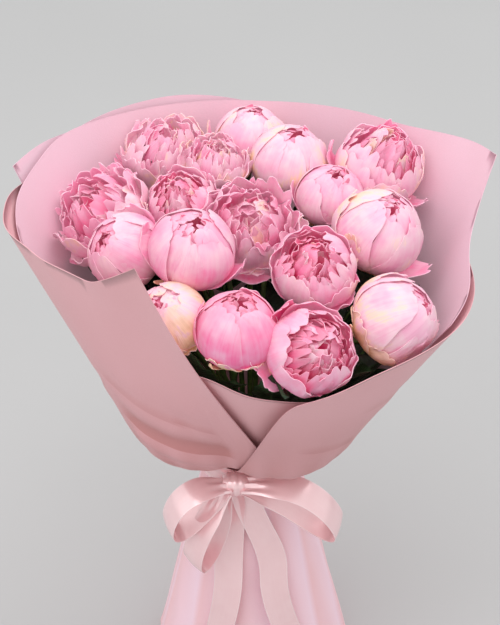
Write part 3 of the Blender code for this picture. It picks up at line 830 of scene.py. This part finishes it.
@dataclass
class Petal:
    """How one petal leaves its bloom. Lengths are metres, angles degrees."""

    azimuth: float
    radius: float             # distance of the petal from the bloom's axis at its widest
    low: float                # depth of its foot under the bloom's centre
    high: float               # how high it would close over the centre
    tip: float                # angle from the foot to the tip
    width: float
    cup: float = 1.0          # radius of its cupping, in radii of the whorl
    flare: float = 0.0        # how far the upper half leans out
    curl: float = 0.0         # how far the very tip and sides turn out
    ruffle: float = 0.0       # height of the waves along the edge
    ragged: float = 0.0       # depth of the notches in the tip, as a share of its length
    rounding: float = 0.20    # how much shorter the petal is at its shoulders
    overlap: float = 0.0      # how far one side lies out over the next petal
    sway: tuple = (0.0, 0.0)  # turn of the whole petal about the bloom's centre, in radians
    tone: float = 0.3


def bend_petal(blank, petal, chance):
    """Points, UVs and tones of a blank bent to its petal's shape, in the bloom's own frame."""
    across, along, half, _ = blank
    phase = [chance.uniform(0, math.tau) for _ in range(4)]
    teeth = chance.uniform(3.0, 5.5)
    notches = (1 - np.abs(np.sin(across * math.pi * teeth / 2 + phase[0]))) ** 2
    cut = petal.rounding * np.abs(across) ** 2.6 + petal.ragged * notches
    share = along * (1 - cut)
    angle = np.radians(petal.tip) * share
    upright = np.where(angle < math.pi / 2, petal.low, petal.high)
    out = petal.radius * np.sin(angle)
    up = -upright * np.cos(angle)
    normal_out = np.sin(angle) / petal.radius
    normal_up = -np.cos(angle) / upright
    size = np.hypot(normal_out, normal_up)
    normal_out, normal_up = normal_out / size, normal_up / size
    edge = ease(0.45, 1.0, np.abs(across))
    lift = petal.flare * ease(0.35, 1.1, share) + petal.curl * (ease(0.78, 1.0, share) + 0.6 * edge * share)
    waves = np.sin(share * math.tau * 1.7 + phase[1]) * np.sign(across) * np.abs(across) ** 1.5
    waves += 0.6 * np.sin(across * math.pi * 2.3 + phase[2]) * share
    lift = lift + petal.ruffle * waves * share + petal.overlap * across * ease(0.2, 0.6, share)
    bow = petal.radius * petal.cup
    turn = half * petal.width / 2 / bow
    inward = bow * (1 - np.cos(turn)) - lift
    side = bow * np.sin(turn)
    out, up = out - normal_out * inward, up - normal_up * inward
    azimuth = math.radians(petal.azimuth)
    points = np.column_stack([out * math.cos(azimuth) - side * math.sin(azimuth),
                              out * math.sin(azimuth) + side * math.cos(azimuth), up])
    points += np.cross((*petal.sway, 0), points)
    return points, np.column_stack([across / 2 + 0.5, along]), np.full(len(across), petal.tone)


def join_petals(name, parts, to_world, materials, wall=None):
    """One object of many bent blanks, kept inside a wall. parts is a list of (points, uv, tone, faces)."""
    points, uvs, tones, faces, start = [], [], [], [], 0
    for part_points, uv, tone, part_faces in parts:
        points.append(part_points)
        uvs.append(uv)
        tones.append(tone)
        faces += [tuple(start + index for index in face) for face in part_faces]
        start += len(part_points)
    turned = np.concatenate(points) @ np.array(to_world.to_3x3()).T + np.array(to_world.translation)
    if wall is not None:
        turned = keep_inside(turned, wall, PETAL_CLEARANCE)
    return new_object(name, turned, faces, materials, np.concatenate(uvs), np.concatenate(tones))


def bloom_place(name):
    """A bloom's radius and the matrix from its own frame to the row's."""
    _, lean, azimuth, _, _ = BLOOMS[name]
    low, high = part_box(name)
    ball = max(high.x - low.x, high.y - low.y) / 2 / BALL_LOBES
    flat = math.sin(math.radians(lean))
    axis = Vector((flat * math.cos(math.radians(azimuth)), flat * math.sin(math.radians(azimuth)),
                   math.cos(math.radians(lean))))
    centre = Vector(((low.x + high.x) / 2, (low.y + high.y) / 2, low.z + BALL_FOOT * ball))
    right = (Vector((1, 0, 0)) - axis * axis.x).normalized()
    turned = Matrix((right, axis.cross(right), axis)).transposed().to_4x4()
    return ball / BALL_SHARE, Matrix.Translation(centre) @ turned


def blend_of(closed, opened, openness):
    return closed + (opened - closed) * openness


def whorl_petals(name, radius, chance):
    """The petals of a bloom's whorls."""
    form, _, _, tone, first = BLOOMS[name]
    openness = OPENNESS[form]
    spread = blend_of(0.14, 0.30, openness)
    petals = []
    for index, (count, out, width, tip, high, flare, step, ragged) in enumerate(WHORLS[form]):
        sway = (chance.uniform(-0.10, 0.10), chance.uniform(-0.10, 0.10))
        for number in range(count):
            around = (number + chance.uniform(-spread, spread)) * 360 / count
            petals.append(Petal(
                azimuth=first + index * SPIRAL_TURN + around,
                radius=radius * out * chance.uniform(0.98, 1.02),
                low=radius * STEM_JOINT - 0.0006 * index,
                high=radius * 0.98 * high * chance.uniform(0.97, 1.03),
                tip=min(177, tip + chance.uniform(-1, 1) * blend_of(11, 18, openness)),
                width=radius * width * chance.uniform(0.9, 1.1),
                cup=blend_of(1.0, 0.84, openness) * chance.uniform(0.95, 1.1),
                flare=radius * flare * chance.uniform(0.4, 1.5),
                curl=radius * chance.uniform(-0.01, 0.03) + radius * chance.uniform(-0.10, 0.14) * openness,
                ruffle=radius * blend_of(0.008, 0.115, openness),
                ragged=ragged * chance.uniform(0.6, 1.4),
                rounding=chance.uniform(0.14, 0.28),
                tone=tone + step + chance.uniform(-0.08, 0.08),
                overlap=radius * 0.03,
                sway=sway,
            ))
    for azimuth, tip, flare, width, tone in LOOSE_PETALS.get(name, ()):
        petals.append(Petal(
            azimuth=azimuth, radius=radius * 1.03, low=radius * STEM_JOINT + 0.0006, high=radius * 0.95,
            tip=tip, width=radius * width, cup=0.9, flare=radius * flare, curl=radius * 0.05,
            ruffle=radius * 0.05, ragged=0.10, rounding=0.26, tone=tone, overlap=radius * 0.02))
    return petals


def crown_petals(name, radius, chance):
    """The narrow ragged petals that crowd the middle of a bloom."""
    form, _, _, tone, _ = BLOOMS[name]
    openness = OPENNESS[form]
    petals = []
    for number in range(CROWN_PETALS[form]):
        share = math.sqrt((number + 0.5) / CROWN_PETALS[form])
        petals.append(Petal(
            azimuth=number * SPIRAL_TURN + chance.uniform(-30, 30),
            radius=radius * (0.10 + 0.55 * share),
            low=radius * STEM_JOINT - 0.004,
            high=radius * blend_of(0.97, 0.64 + 0.20 * share, openness) * chance.uniform(0.92, 1.08),
            tip=chance.uniform(136, 168),
            width=radius * chance.uniform(0.7, 1.25),
            cup=chance.uniform(0.5, 1.6),
            flare=radius * chance.uniform(-0.04, 0.14) * openness,
            curl=radius * chance.uniform(-0.10, 0.14),
            ruffle=radius * chance.uniform(0.06, 0.15),
            ragged=chance.uniform(0.06, 0.18),
            tone=tone + chance.choice(CROWN_TONES[form]),
            overlap=radius * chance.uniform(-0.06, 0.06),
            sway=(chance.uniform(-0.15, 0.15), chance.uniform(-0.15, 0.15)),
        ))
    return petals


def sepal_petals(radius, first, chance):
    """Three round sepals that hold a bloom from below, and two narrow leafy ones."""
    petals = []
    for number in range(5):
        leafy = number > 2
        petals.append(Petal(
            azimuth=first + number * SPIRAL_TURN + chance.uniform(-10, 10),
            radius=radius * 0.965, low=radius * STEM_JOINT + 0.0012, high=radius,
            tip=chance.uniform(62, 84) if leafy else chance.uniform(48, 66),
            width=radius * (0.30 if leafy else 0.85), cup=1.05,
            flare=radius * (0.18 if leafy else 0.01), curl=radius * 0.03, ruffle=radius * 0.015,
            ragged=0.02, rounding=0.45, tone=0.2))
    return petals


# ---- leaves ----------------------------------------------------------------------------------


def leaflet_outline(share):
    """Half width of a leaflet: pointed at both ends and widest below its middle."""
    return max(0.02, math.sin(math.pi * share ** 0.8) ** 0.85)


def leaflet(blank, start, direction, upward, length, width, droop, chance):
    """Points of a leaflet that leaves start along direction, folded along its midrib and drooping."""
    _, along, half, _ = blank
    side = direction.cross(upward).normalized()
    face = side.cross(direction).normalized()
    phase = chance.uniform(0, math.tau)
    reach = along * length
    fold = np.abs(half) * width * 0.22 - droop * along ** 2 * length
    fold += 0.0018 * np.sin(along * 9 + phase) * half
    return (np.array(start) + np.outer(reach, direction) + np.outer(half * width / 2, side)
            + np.outer(fold, face))


def tube(course, radii, sides=8):
    """Points, UVs and faces of a round tube along a course of points, closed at both ends."""
    points, uvs, faces = [], [], []
    for index, (centre, radius) in enumerate(zip(course, radii)):
        ahead = course[min(index + 1, len(course) - 1)] - course[max(index - 1, 0)]
        across = ahead.cross(Vector((0.31, 0.95, 0.05))).normalized()
        other = ahead.cross(across).normalized()
        for corner in range(sides):
            turn = math.tau * corner / sides
            points.append(centre + radius * (across * math.cos(turn) + other * math.sin(turn)))
            uvs.append((corner / sides, index / (len(course) - 1)))
    for index in range(len(course) - 1):
        for corner in range(sides):
            low, high = index * sides, (index + 1) * sides
            after = (corner + 1) % sides
            faces.append((low + corner, low + after, high + after, high + corner))
    faces.append(tuple(range(sides - 1, -1, -1)))
    faces.append(tuple(range(len(points) - sides, len(points))))
    return np.array([tuple(point) for point in points]), np.array(uvs), faces


def wall_limits():
    """Least distance of the finished wrap from the axis, in cells of azimuth and height."""
    names = [name for name in frame["nodes"] if name.endswith("_sheet") and not name.startswith("skirt")]
    points = np.concatenate([mesh_points(bpy.data.objects[name + "_paper"].data) for name in names])
    columns, rows, distances = wall_cells(points)
    limits = np.full((CELL_COLUMNS, CELL_ROWS), np.inf)
    for turn in (-1, 0, 1):
        for rise in (-1, 0, 1):
            cells = (columns + turn) % CELL_COLUMNS, np.clip(rows + rise, 0, CELL_ROWS - 1)
            np.minimum.at(limits, cells, distances)
    return limits


def raised_wall(limits):
    """The wall's limits carried on upwards past the rims."""
    limits = limits.copy()
    for row in range(1, CELL_ROWS):
        missing = np.isinf(limits[:, row])
        limits[missing, row] = limits[missing, row - 1]
    return limits


def wall_cells(points):
    """Column, row and distance from the axis of each point."""
    azimuths = np.degrees(np.arctan2(points[:, 1], points[:, 0])) % 360
    rows = np.clip((points[:, 2] - TIE) / CELL_RISE, 0, CELL_ROWS - 1)
    return (azimuths // CELL_TURN).astype(int), rows.astype(int), np.hypot(points[:, 0], points[:, 1])


def keep_inside(points, limits, clearance):
    """Draw points in towards the axis until they clear the wrap."""
    columns, rows, distances = wall_cells(points)
    columns %= CELL_COLUMNS
    share = (limits[columns, rows] - clearance) / np.maximum(distances, clearance)
    points[:, :2] *= np.minimum(share, 1)[:, None]
    return points


def leaf_course(node):
    """Middle of a solid leaf at each of its levels."""
    points = mesh_points(frame["nodes"][node].data)
    course = []
    for level in LEAF_LEVELS:
        near = points[np.abs(points[:, 2] - TIE - level) < LEVEL_REACH]
        course.append(Vector(near.mean(axis=0)))
    return course


def add_leaf(node, blank, materials, wall, chance):
    """A compound leaf on its stalk: pairs of leaflets and one at the end."""
    length = bpy.context.scene.peony_greens.leaflet_length
    course = leaf_course(node)
    stalk = course[:STALK_LEVELS]
    points, uv, faces = tube(stalk, [STALK_RADIUS - STALK_TAPER * index for index in range(len(stalk))])
    finish(new_object(node + "_stalk", points, faces, [materials[1]], uv), "leaves")
    parts = []
    outward = (course[8] - course[4]).normalized()
    up = Vector((0, 0, 1))
    around = outward.cross(up).normalized()
    leaflets = [END_LEAFLET]
    for level, spread, share in PAIRED_LEAFLETS:
        leaflets += [(level, spread, share), (level, -spread, share)]
    for level, spread, share in leaflets:
        direction = (outward + around * spread + up * chance.uniform(-0.25, 0.15)).normalized()
        size = length * share * chance.uniform(0.85, 1.0)
        blade = leaflet(blank, course[level], direction, up, size, size * BLADE_SHARE,
                        chance.uniform(0.05, 0.25), chance)
        blade = keep_inside(blade, wall, LEAF_CLEARANCE)
        across, along, _, faces = blank
        uv = np.column_stack([across / 2 + 0.5, along])
        parts.append((blade, uv, np.zeros(len(across)), faces))
    blades = join_petals(node + "_blades", parts, Matrix.Identity(4), [materials[0]])
    thicken(blades, BLADE_THICKNESS)
    finish(blades, "leaves", node)


# ---- paper -----------------------------------------------------------------------------------


def wrap_relief(azimuth, height):
    """How far the wrap stands in from its even wall, and how much painted shade its folds get, for arrays.
    """
    gather = np.exp(-np.clip(height, 0, None) / GATHER_REACH)
    turn = np.radians(azimuth)
    ridges = np.sin(GATHERS * turn + 1.3 * np.sin(3 * turn))
    gathers = gather * (GATHER_DEPTH * ridges + FINE_GATHER_DEPTH * np.sin(FINE_GATHERS * turn + 1))
    waves = WAVE_DEPTH * np.sin(WAVES * turn + WAVE_SLANT * height) * ease(0.05, 0.25, height)
    relief = gathers + waves
    # Painted shade in the hollows of the gathers near the tie
    folds = gather * (0.5 + 0.5 * ridges)
    for start, low, end, high, depth, _ in CREASES:
        middle, half_turn = (start + end) / 2, (end - start) / 2
        share = ((azimuth - middle + 180) % 360 - 180) / half_turn
        above = height - (low + high) / 2 - share * (high - low) / 2
        fade = 1 - ease(0.55, 1.0, np.abs(share))
        relief = relief + 0.5 * depth * fade * np.sin(np.clip(above / CREASE_BULGE, -1, 1) * math.pi)
    return relief, np.clip(folds, 0, 1)


def skirt_relief(azimuth, height):
    """The same for the skirt, whose sharp-edged pleats deepen from the tie to the floor."""
    turn = np.radians(azimuth)
    down = np.clip(-height / TIE, 0, 1)
    saw = (azimuth / 360 * PLEATS) % 1
    pleat = np.where(saw < PLEAT_FLAT, saw / PLEAT_FLAT, (1 - saw) / (1 - PLEAT_FLAT))
    ripples = RIPPLE_DEPTH * down * np.sin(RIPPLES * turn + RIPPLE_SLANT * height)
    # Painted shade on the turned-back side of each pleat
    return PLEAT_DEPTH * down * (pleat - 0.5) + ripples, np.clip((1 - pleat) * 0.6, 0, 1)


def dress_paper(obj, relief_of):
    """Thin a subdivided solid sheet, press its folds into it and store their painted shade as an attribute.
    """
    make_active(obj)
    bpy.ops.object.mode_set(mode="EDIT")
    bpy.ops.mesh.select_all(action="SELECT")
    bpy.ops.transform.shrink_fatten(value=-bpy.context.scene.peony_paper.thinning)
    bpy.ops.object.mode_set(mode="OBJECT")
    points = mesh_points(obj.data)
    azimuth = np.degrees(np.arctan2(points[:, 1], points[:, 0]))
    relief, folds = relief_of(azimuth, points[:, 2] - TIE)
    distance = np.hypot(points[:, 0], points[:, 1])
    points[:, :2] *= ((distance - relief) / distance)[:, None]
    obj.data.vertices.foreach_set("co", points.ravel())
    obj.data.attributes.new("fold", "FLOAT", "POINT").data.foreach_set("value", folds)
    obj.data.update()


# ---- ribbon ----------------------------------------------------------------------------------


def strip(name, course, acrosses, widths, pleats, crown, material, columns=12):
    """A ribbon along a course. pleats gives the depth of its gathers at each point."""
    points, uvs, faces = [], [], []
    rows = len(course)
    travelled = 0.0
    for index in range(rows):
        ahead = course[min(index + 1, rows - 1)] - course[max(index - 1, 0)]
        across = acrosses[index].normalized()
        face = across.cross(ahead).normalized()
        if index:
            travelled += (course[index] - course[index - 1]).length
        for column in range(columns + 1):
            share = column / columns * 2 - 1
            lift = crown * (1 - share * share) + pleats[index] * math.cos(share * math.pi * 2.5)
            points.append(course[index] + across * share * widths[index] / 2 + face * lift)
            uvs.append((column / columns, travelled / 0.1))
    for index in range(rows - 1):
        for column in range(columns):
            low = index * (columns + 1) + column
            high = low + columns + 1
            faces.append((low, low + 1, high + 1, high))
    return new_object(name, points, faces, [material], uvs), travelled


def add_loop(name, material):
    """A loop of ribbon that swells out from the knot and comes back to it."""
    ribbon = bpy.context.scene.peony_ribbon
    start, end, facing, half_depth, rise = LOOPS[name]
    tie = Vector((0, 0, TIE))
    start = Vector(start) + tie
    end = Vector(end) + tie
    reach = end - start
    facing = Vector(facing)
    facing = (facing - reach * facing.dot(reach) / reach.length_squared).normalized()
    across = reach.cross(facing).normalized()
    course, acrosses, widths, pleats = [], [], [], []
    for index in range(LOOP_ROWS):
        turn = math.tau * (index / (LOOP_ROWS - 1))
        share = (1 - math.cos(turn)) / 2
        swell = 0.30 + 0.70 * math.sin(share * math.pi / 2)
        arch = Vector((0, 0, rise)) * math.sin(share * math.pi)
        course.append(start + reach * share + facing * half_depth * swell * math.sin(turn) + arch)
        pinch = 1 - float(ease(0.0, LOOP_PINCH, share))
        acrosses.append(across)
        widths.append(ribbon.width * (1.08 - 0.35 * pinch))
        pleats.append(0.0014 * pinch)
    obj, length = strip(name + "_satin", course, acrosses, widths, pleats, 0.0012, material)
    thicken(obj, ribbon.thickness)
    finish(obj, "ribbon", name)


def add_tail(name, material):
    """A tail of ribbon that comes from under the knot and hangs down over the skirt."""
    ribbon = bpy.context.scene.peony_ribbon
    at_knot, half_way, at_end, end_height = TAILS[name]
    course, acrosses, widths, pleats = [], [], [], []
    for index in range(TAIL_ROWS):
        share = index / (TAIL_ROWS - 1)
        height = TAIL_TOP + (end_height - TAIL_TOP) * share
        x = at_knot + (half_way - at_knot) * float(ease(0, TAIL_BEND, share))
        x += (at_end - half_way) * float(ease(TAIL_BEND, 1.0, share))
        down = max(0.0, (SKIRT_TOP - height) / (TIE + SKIRT_TOP))
        distance = SKIRT_WAIST + (SKIRT_HEM - SKIRT_WAIST) * down + TAIL_OFF_SKIRT
        distance = max(distance, KNOT_FRONT - 0.35 * share) + 0.0015 * math.sin(share * 14)
        y = -math.sqrt(distance * distance - x * x)
        course.append(Vector((x, y, TIE + height)))
        twist = 0.25 * math.sin(share * 9 + at_end * 40)
        acrosses.append(Vector((-y, x + twist * 0.01, 0)).normalized() + Vector((0, twist * 0.3, 0.0)))
        pinch = 1 - float(ease(0.0, TAIL_PINCH, share))
        widths.append(ribbon.width * (1.08 - 0.25 * pinch))
        pleats.append(0.0020 * pinch)
    obj, length = strip(name + "_satin", course, acrosses, widths, pleats, 0.0010, material)
    thicken(obj, ribbon.thickness)
    finish(obj, "ribbon", name)


def add_band(material):
    """The turn of ribbon round the waist of the wrap."""
    ribbon = bpy.context.scene.peony_ribbon
    low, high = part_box("ribbon_band")
    radius = (high.x - low.x) / 2
    middle = (low.z + high.z) / 2
    width = high.z - low.z
    course, acrosses, pleats = [], [], []
    for index in range(BAND_ROWS):
        turn = math.tau * index / (BAND_ROWS - 1) - math.pi / 2
        course.append(Vector((radius * math.cos(turn), radius * math.sin(turn), middle)))
        acrosses.append(Vector((0, 0, 1)))
        pleats.append(0.0005 + 0.0003 * math.sin(turn * 9))
    widths = [width] * BAND_ROWS
    obj, length = strip("ribbon_band_satin", course, acrosses, widths, pleats, 0.0004, material)
    thicken(obj, ribbon.thickness)
    finish(obj, "ribbon", "ribbon_band")


def add_knot(material):
    """The pleated wrap of the knot, a short tube of ribbon pulled tight over the loops' ends."""
    low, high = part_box("ribbon_knot")
    centre = (low + high) / 2
    reach = (high - low) * KNOT_SHARES
    points, uvs, faces = [], [], []
    for ring in range(KNOT_RINGS + 1):
        share = ring / KNOT_RINGS * 2 - 1
        for corner in range(KNOT_SIDES):
            turn = math.tau * corner / KNOT_SIDES
            pleat = 1 + 0.05 * math.cos(share * 11 + 0.6 * math.sin(turn))
            swell = (1 - 0.35 * share * share) * pleat
            points.append(centre + Vector((share * reach.x, math.cos(turn) * reach.y * swell,
                                           math.sin(turn) * reach.z * swell)))
            uvs.append((ring / KNOT_RINGS, corner / KNOT_SIDES))
    for ring in range(KNOT_RINGS):
        for corner in range(KNOT_SIDES):
            first = ring * KNOT_SIDES + corner
            after = ring * KNOT_SIDES + (corner + 1) % KNOT_SIDES
            faces.append((first, after, after + KNOT_SIDES, first + KNOT_SIDES))
    faces.append(tuple(range(KNOT_SIDES - 1, -1, -1)))
    faces.append(tuple(range(KNOT_RINGS * KNOT_SIDES, (KNOT_RINGS + 1) * KNOT_SIDES)))
    obj = new_object("ribbon_knot_satin", points, faces, [material], uvs)
    finish(obj, "ribbon", "ribbon_knot")


# ---- operators -------------------------------------------------------------------------------


class PEONY_OT_blooms(bpy.types.Operator):
    """Make every bloom from its own bent petals, with its sepals"""

    bl_idname = "peony.blooms"
    bl_label = "Blooms"

    def execute(self, context):
        settings = context.scene.peony_petals
        broad = flat_blank("broad petal", 18, 14, petal_outline)
        narrow = flat_blank("narrow petal", 9, 8, petal_outline)
        small = flat_blank("sepal", 8, 8, petal_outline)
        materials = petal_materials()
        green = sepal_material()
        wall = wall_limits()
        for index, name in enumerate(BLOOMS):
            chance = random.Random(index + 1)
            radius, to_world = bloom_place(name)
            parts = []
            for petal in whorl_petals(name, radius, chance):
                parts.append((*bend_petal(broad, petal, chance), broad[3]))
            for petal in crown_petals(name, radius, chance):
                parts.append((*bend_petal(narrow, petal, chance), narrow[3]))
            petals = join_petals("petals_of_" + name, parts, to_world, materials, wall)
            thicken(petals, settings.thickness, inner=1, rim=2)
            finish(petals, "petals", name)
            parts = []
            for petal in sepal_petals(radius, BLOOMS[name][4], chance):
                parts.append((*bend_petal(small, petal, chance), small[3]))
            sepals = join_petals("sepals_of_" + name, parts, to_world, [green], wall)
            thicken(sepals, settings.thickness * 1.5)
            finish(sepals, "leaves")
        return {"FINISHED"}


class PEONY_OT_greenery(bpy.types.Operator):
    """Make the compound leaves and the stems"""

    bl_idname = "peony.greenery"
    bl_label = "Leaves and stems"

    def execute(self, context):
        blade = leaf_material()
        stem = stem_material()
        blank = flat_blank("leaflet", 6, 12, leaflet_outline)
        chance = random.Random(40)
        wall = raised_wall(wall_limits())
        for node in sorted(frame["nodes"]):
            if node.startswith("leaf_"):
                add_leaf(node, blank, [blade, stem], wall, chance)
            if node.startswith("stem_of_"):
                copy = solid_copy(node, node + "_skin", 1, STEM_CREASE)
                copy.data.materials.append(stem)
                finish(copy, "stems", node)
        return {"FINISHED"}


class PEONY_OT_paper(bpy.types.Operator):
    """Make the sheets of the wrap and the skirt"""

    bl_idname = "peony.paper"
    bl_label = "Paper"

    def execute(self, context):
        paper = context.scene.peony_paper
        wrap = paper_material("wrap paper", paper.wrap, paper.wrap_fold_shade, 0.12, CREASES)
        # The front sheets get a darker, less glowing copy of the wrap's material: painted shade for their
        # downward faces
        front = paper_material("front paper", paper.front, paper.wrap_fold_shade, 0.04, CREASES)
        skirt = paper_material("skirt paper", paper.skirt, paper.skirt_fold_shade, 0.03)
        for node in sorted(frame["nodes"]):
            if not node.endswith("_sheet"):
                continue
            in_skirt = node.startswith("skirt")
            sheet = solid_copy(node, node + "_paper", PAPER_LEVELS, PAPER_CREASE)
            dress_paper(sheet, skirt_relief if in_skirt else wrap_relief)
            material = front if "front_" in node else wrap
            sheet.data.materials.append(skirt if in_skirt else material)
            finish(sheet, "skirt_paper" if in_skirt else "wrap_paper", node)
        return {"FINISHED"}


class PEONY_OT_ribbon(bpy.types.Operator):
    """Make the band, knot, loops and tails of the ribbon"""

    bl_idname = "peony.ribbon"
    bl_label = "Ribbon"

    def execute(self, context):
        satin = satin_material()
        add_knot(satin)
        add_band(satin)
        for name in LOOPS:
            add_loop(name, satin)
        for name in TAILS:
            add_tail(name, satin)
        return {"FINISHED"}


class PEONY_OT_twine(bpy.types.Operator):
    """Wind the twine round the stems"""

    bl_idname = "peony.twine"
    bl_label = "Twine"

    def execute(self, context):
        thick = context.scene.peony_ribbon.twine
        low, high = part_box("binding_twine")
        outer = high.x - thick / 2
        course = []
        steps = TWINE_TURNS * TWINE_STEPS
        for step in range(steps + 1):
            share = step / steps
            turn = math.tau * TWINE_TURNS * share
            height = low.z + thick / 2 + (high.z - low.z - thick) * share
            course.append(Vector((outer * math.cos(turn), outer * math.sin(turn), height)))
        points, uv, faces = tube(course, [thick / 2] * len(course))
        obj = new_object("twine_turns", points, faces, [jute_material()], uv)
        finish(obj, "twine", "binding_twine")
        return {"FINISHED"}


class PEONY_OT_stage(bpy.types.Operator):
    """Set the floor, the soft lights and the camera"""

    bl_idname = "peony.stage"
    bl_label = "Stage"

    def execute(self, context):
        stage = context.scene.peony_stage
        aim = Vector((0, 0, TIE + AIM_HEIGHT))
        self.add_camera(context.scene, stage, aim)
        deselect_all()
        bpy.ops.mesh.primitive_plane_add(size=FLOOR_WIDTH, location=(0, 0, 0))
        floor = context.active_object
        floor.name = "floor"
        material, graph, shader = new_material("floor", 0.8, Specular_IOR_Level=0.2)
        grain = graph.group(mottle_group(), Place=graph.place(), Scale=3.0, Detail=1.0)
        pale = tuple(part * 1.02 for part in stage.floor)
        graph.join(graph.mix(grain, (*stage.floor, 1), (*pale, 1)), shader.inputs["Base Color"])
        floor.data.materials.append(material)
        for name, (place, width, strength) in LIGHTS.items():
            self.add_light(name, place, aim, width, getattr(stage, strength))
        world = bpy.data.worlds.new("studio")
        world.use_nodes = True
        sky = world.node_tree.nodes["Background"]
        sky.inputs["Color"].default_value = (1, 1, 1, 1)
        sky.inputs["Strength"].default_value = SKY_STRENGTH
        context.scene.world = world
        context.scene.view_settings.view_transform = "Standard"
        return {"FINISHED"}

    def add_camera(self, scene, stage, aim):
        data = bpy.data.cameras.new("camera")
        camera = bpy.data.objects.new("camera", data)
        scene.collection.objects.link(camera)
        back = Vector((0, -math.cos(stage.elevation), math.sin(stage.elevation)))
        camera.location = aim + back * stage.distance
        camera.rotation_euler = (-back).to_track_quat("-Z", "Y").to_euler()
        data.sensor_width = SENSOR_WIDTH
        data.lens = SENSOR_WIDTH * stage.distance / FRAME_WIDTH
        scene.camera = camera

    def add_light(self, name, place, aim, width, power):
        data = bpy.data.lights.new(name, "AREA")
        data.size = width
        data.energy = power
        light = bpy.data.objects.new(name, data)
        light.location = place
        light.rotation_euler = (aim - Vector(place)).to_track_quat("-Z", "Y").to_euler()
        bpy.context.scene.collection.objects.link(light)


class PEONY_PT_panel(bpy.types.Panel):
    """The steps that make the bunch, in order"""

    bl_idname = "PEONY_PT_panel"
    bl_label = "Bunch of peonies"
    bl_space_type = "VIEW_3D"
    bl_region_type = "UI"
    bl_category = "Peonies"

    def draw(self, context):
        for name in SETTINGS:
            box = self.layout.box()
            group = getattr(context.scene, name)
            for key in group.bl_rna.properties.keys():
                if key not in ("rna_type", "name"):
                    box.prop(group, key)
        for step in STEPS:
            self.layout.operator(step.bl_idname)


SETTINGS = {
    "peony_petals": PetalSettings,
    "peony_greens": GreenSettings,
    "peony_paper": PaperSettings,
    "peony_ribbon": RibbonSettings,
    "peony_stage": StageSettings,
}
STEPS = (PEONY_OT_stage, PEONY_OT_paper, PEONY_OT_blooms, PEONY_OT_greenery, PEONY_OT_ribbon,
         PEONY_OT_twine)


def register():
    for cls in (*SETTINGS.values(), *STEPS, PEONY_PT_panel):
        bpy.utils.register_class(cls)
    for name, group in SETTINGS.items():
        setattr(bpy.types.Scene, name, bpy.props.PointerProperty(type=group))


def unregister():
    for name in SETTINGS:
        delattr(bpy.types.Scene, name)
    for cls in reversed((*SETTINGS.values(), *STEPS, PEONY_PT_panel)):
        bpy.utils.unregister_class(cls)


def main():
    register()
    for step in STEPS:
        group, operator = step.bl_idname.split(".")
        getattr(getattr(bpy.ops, group), operator)()


if __name__ == "__main__":
    main()
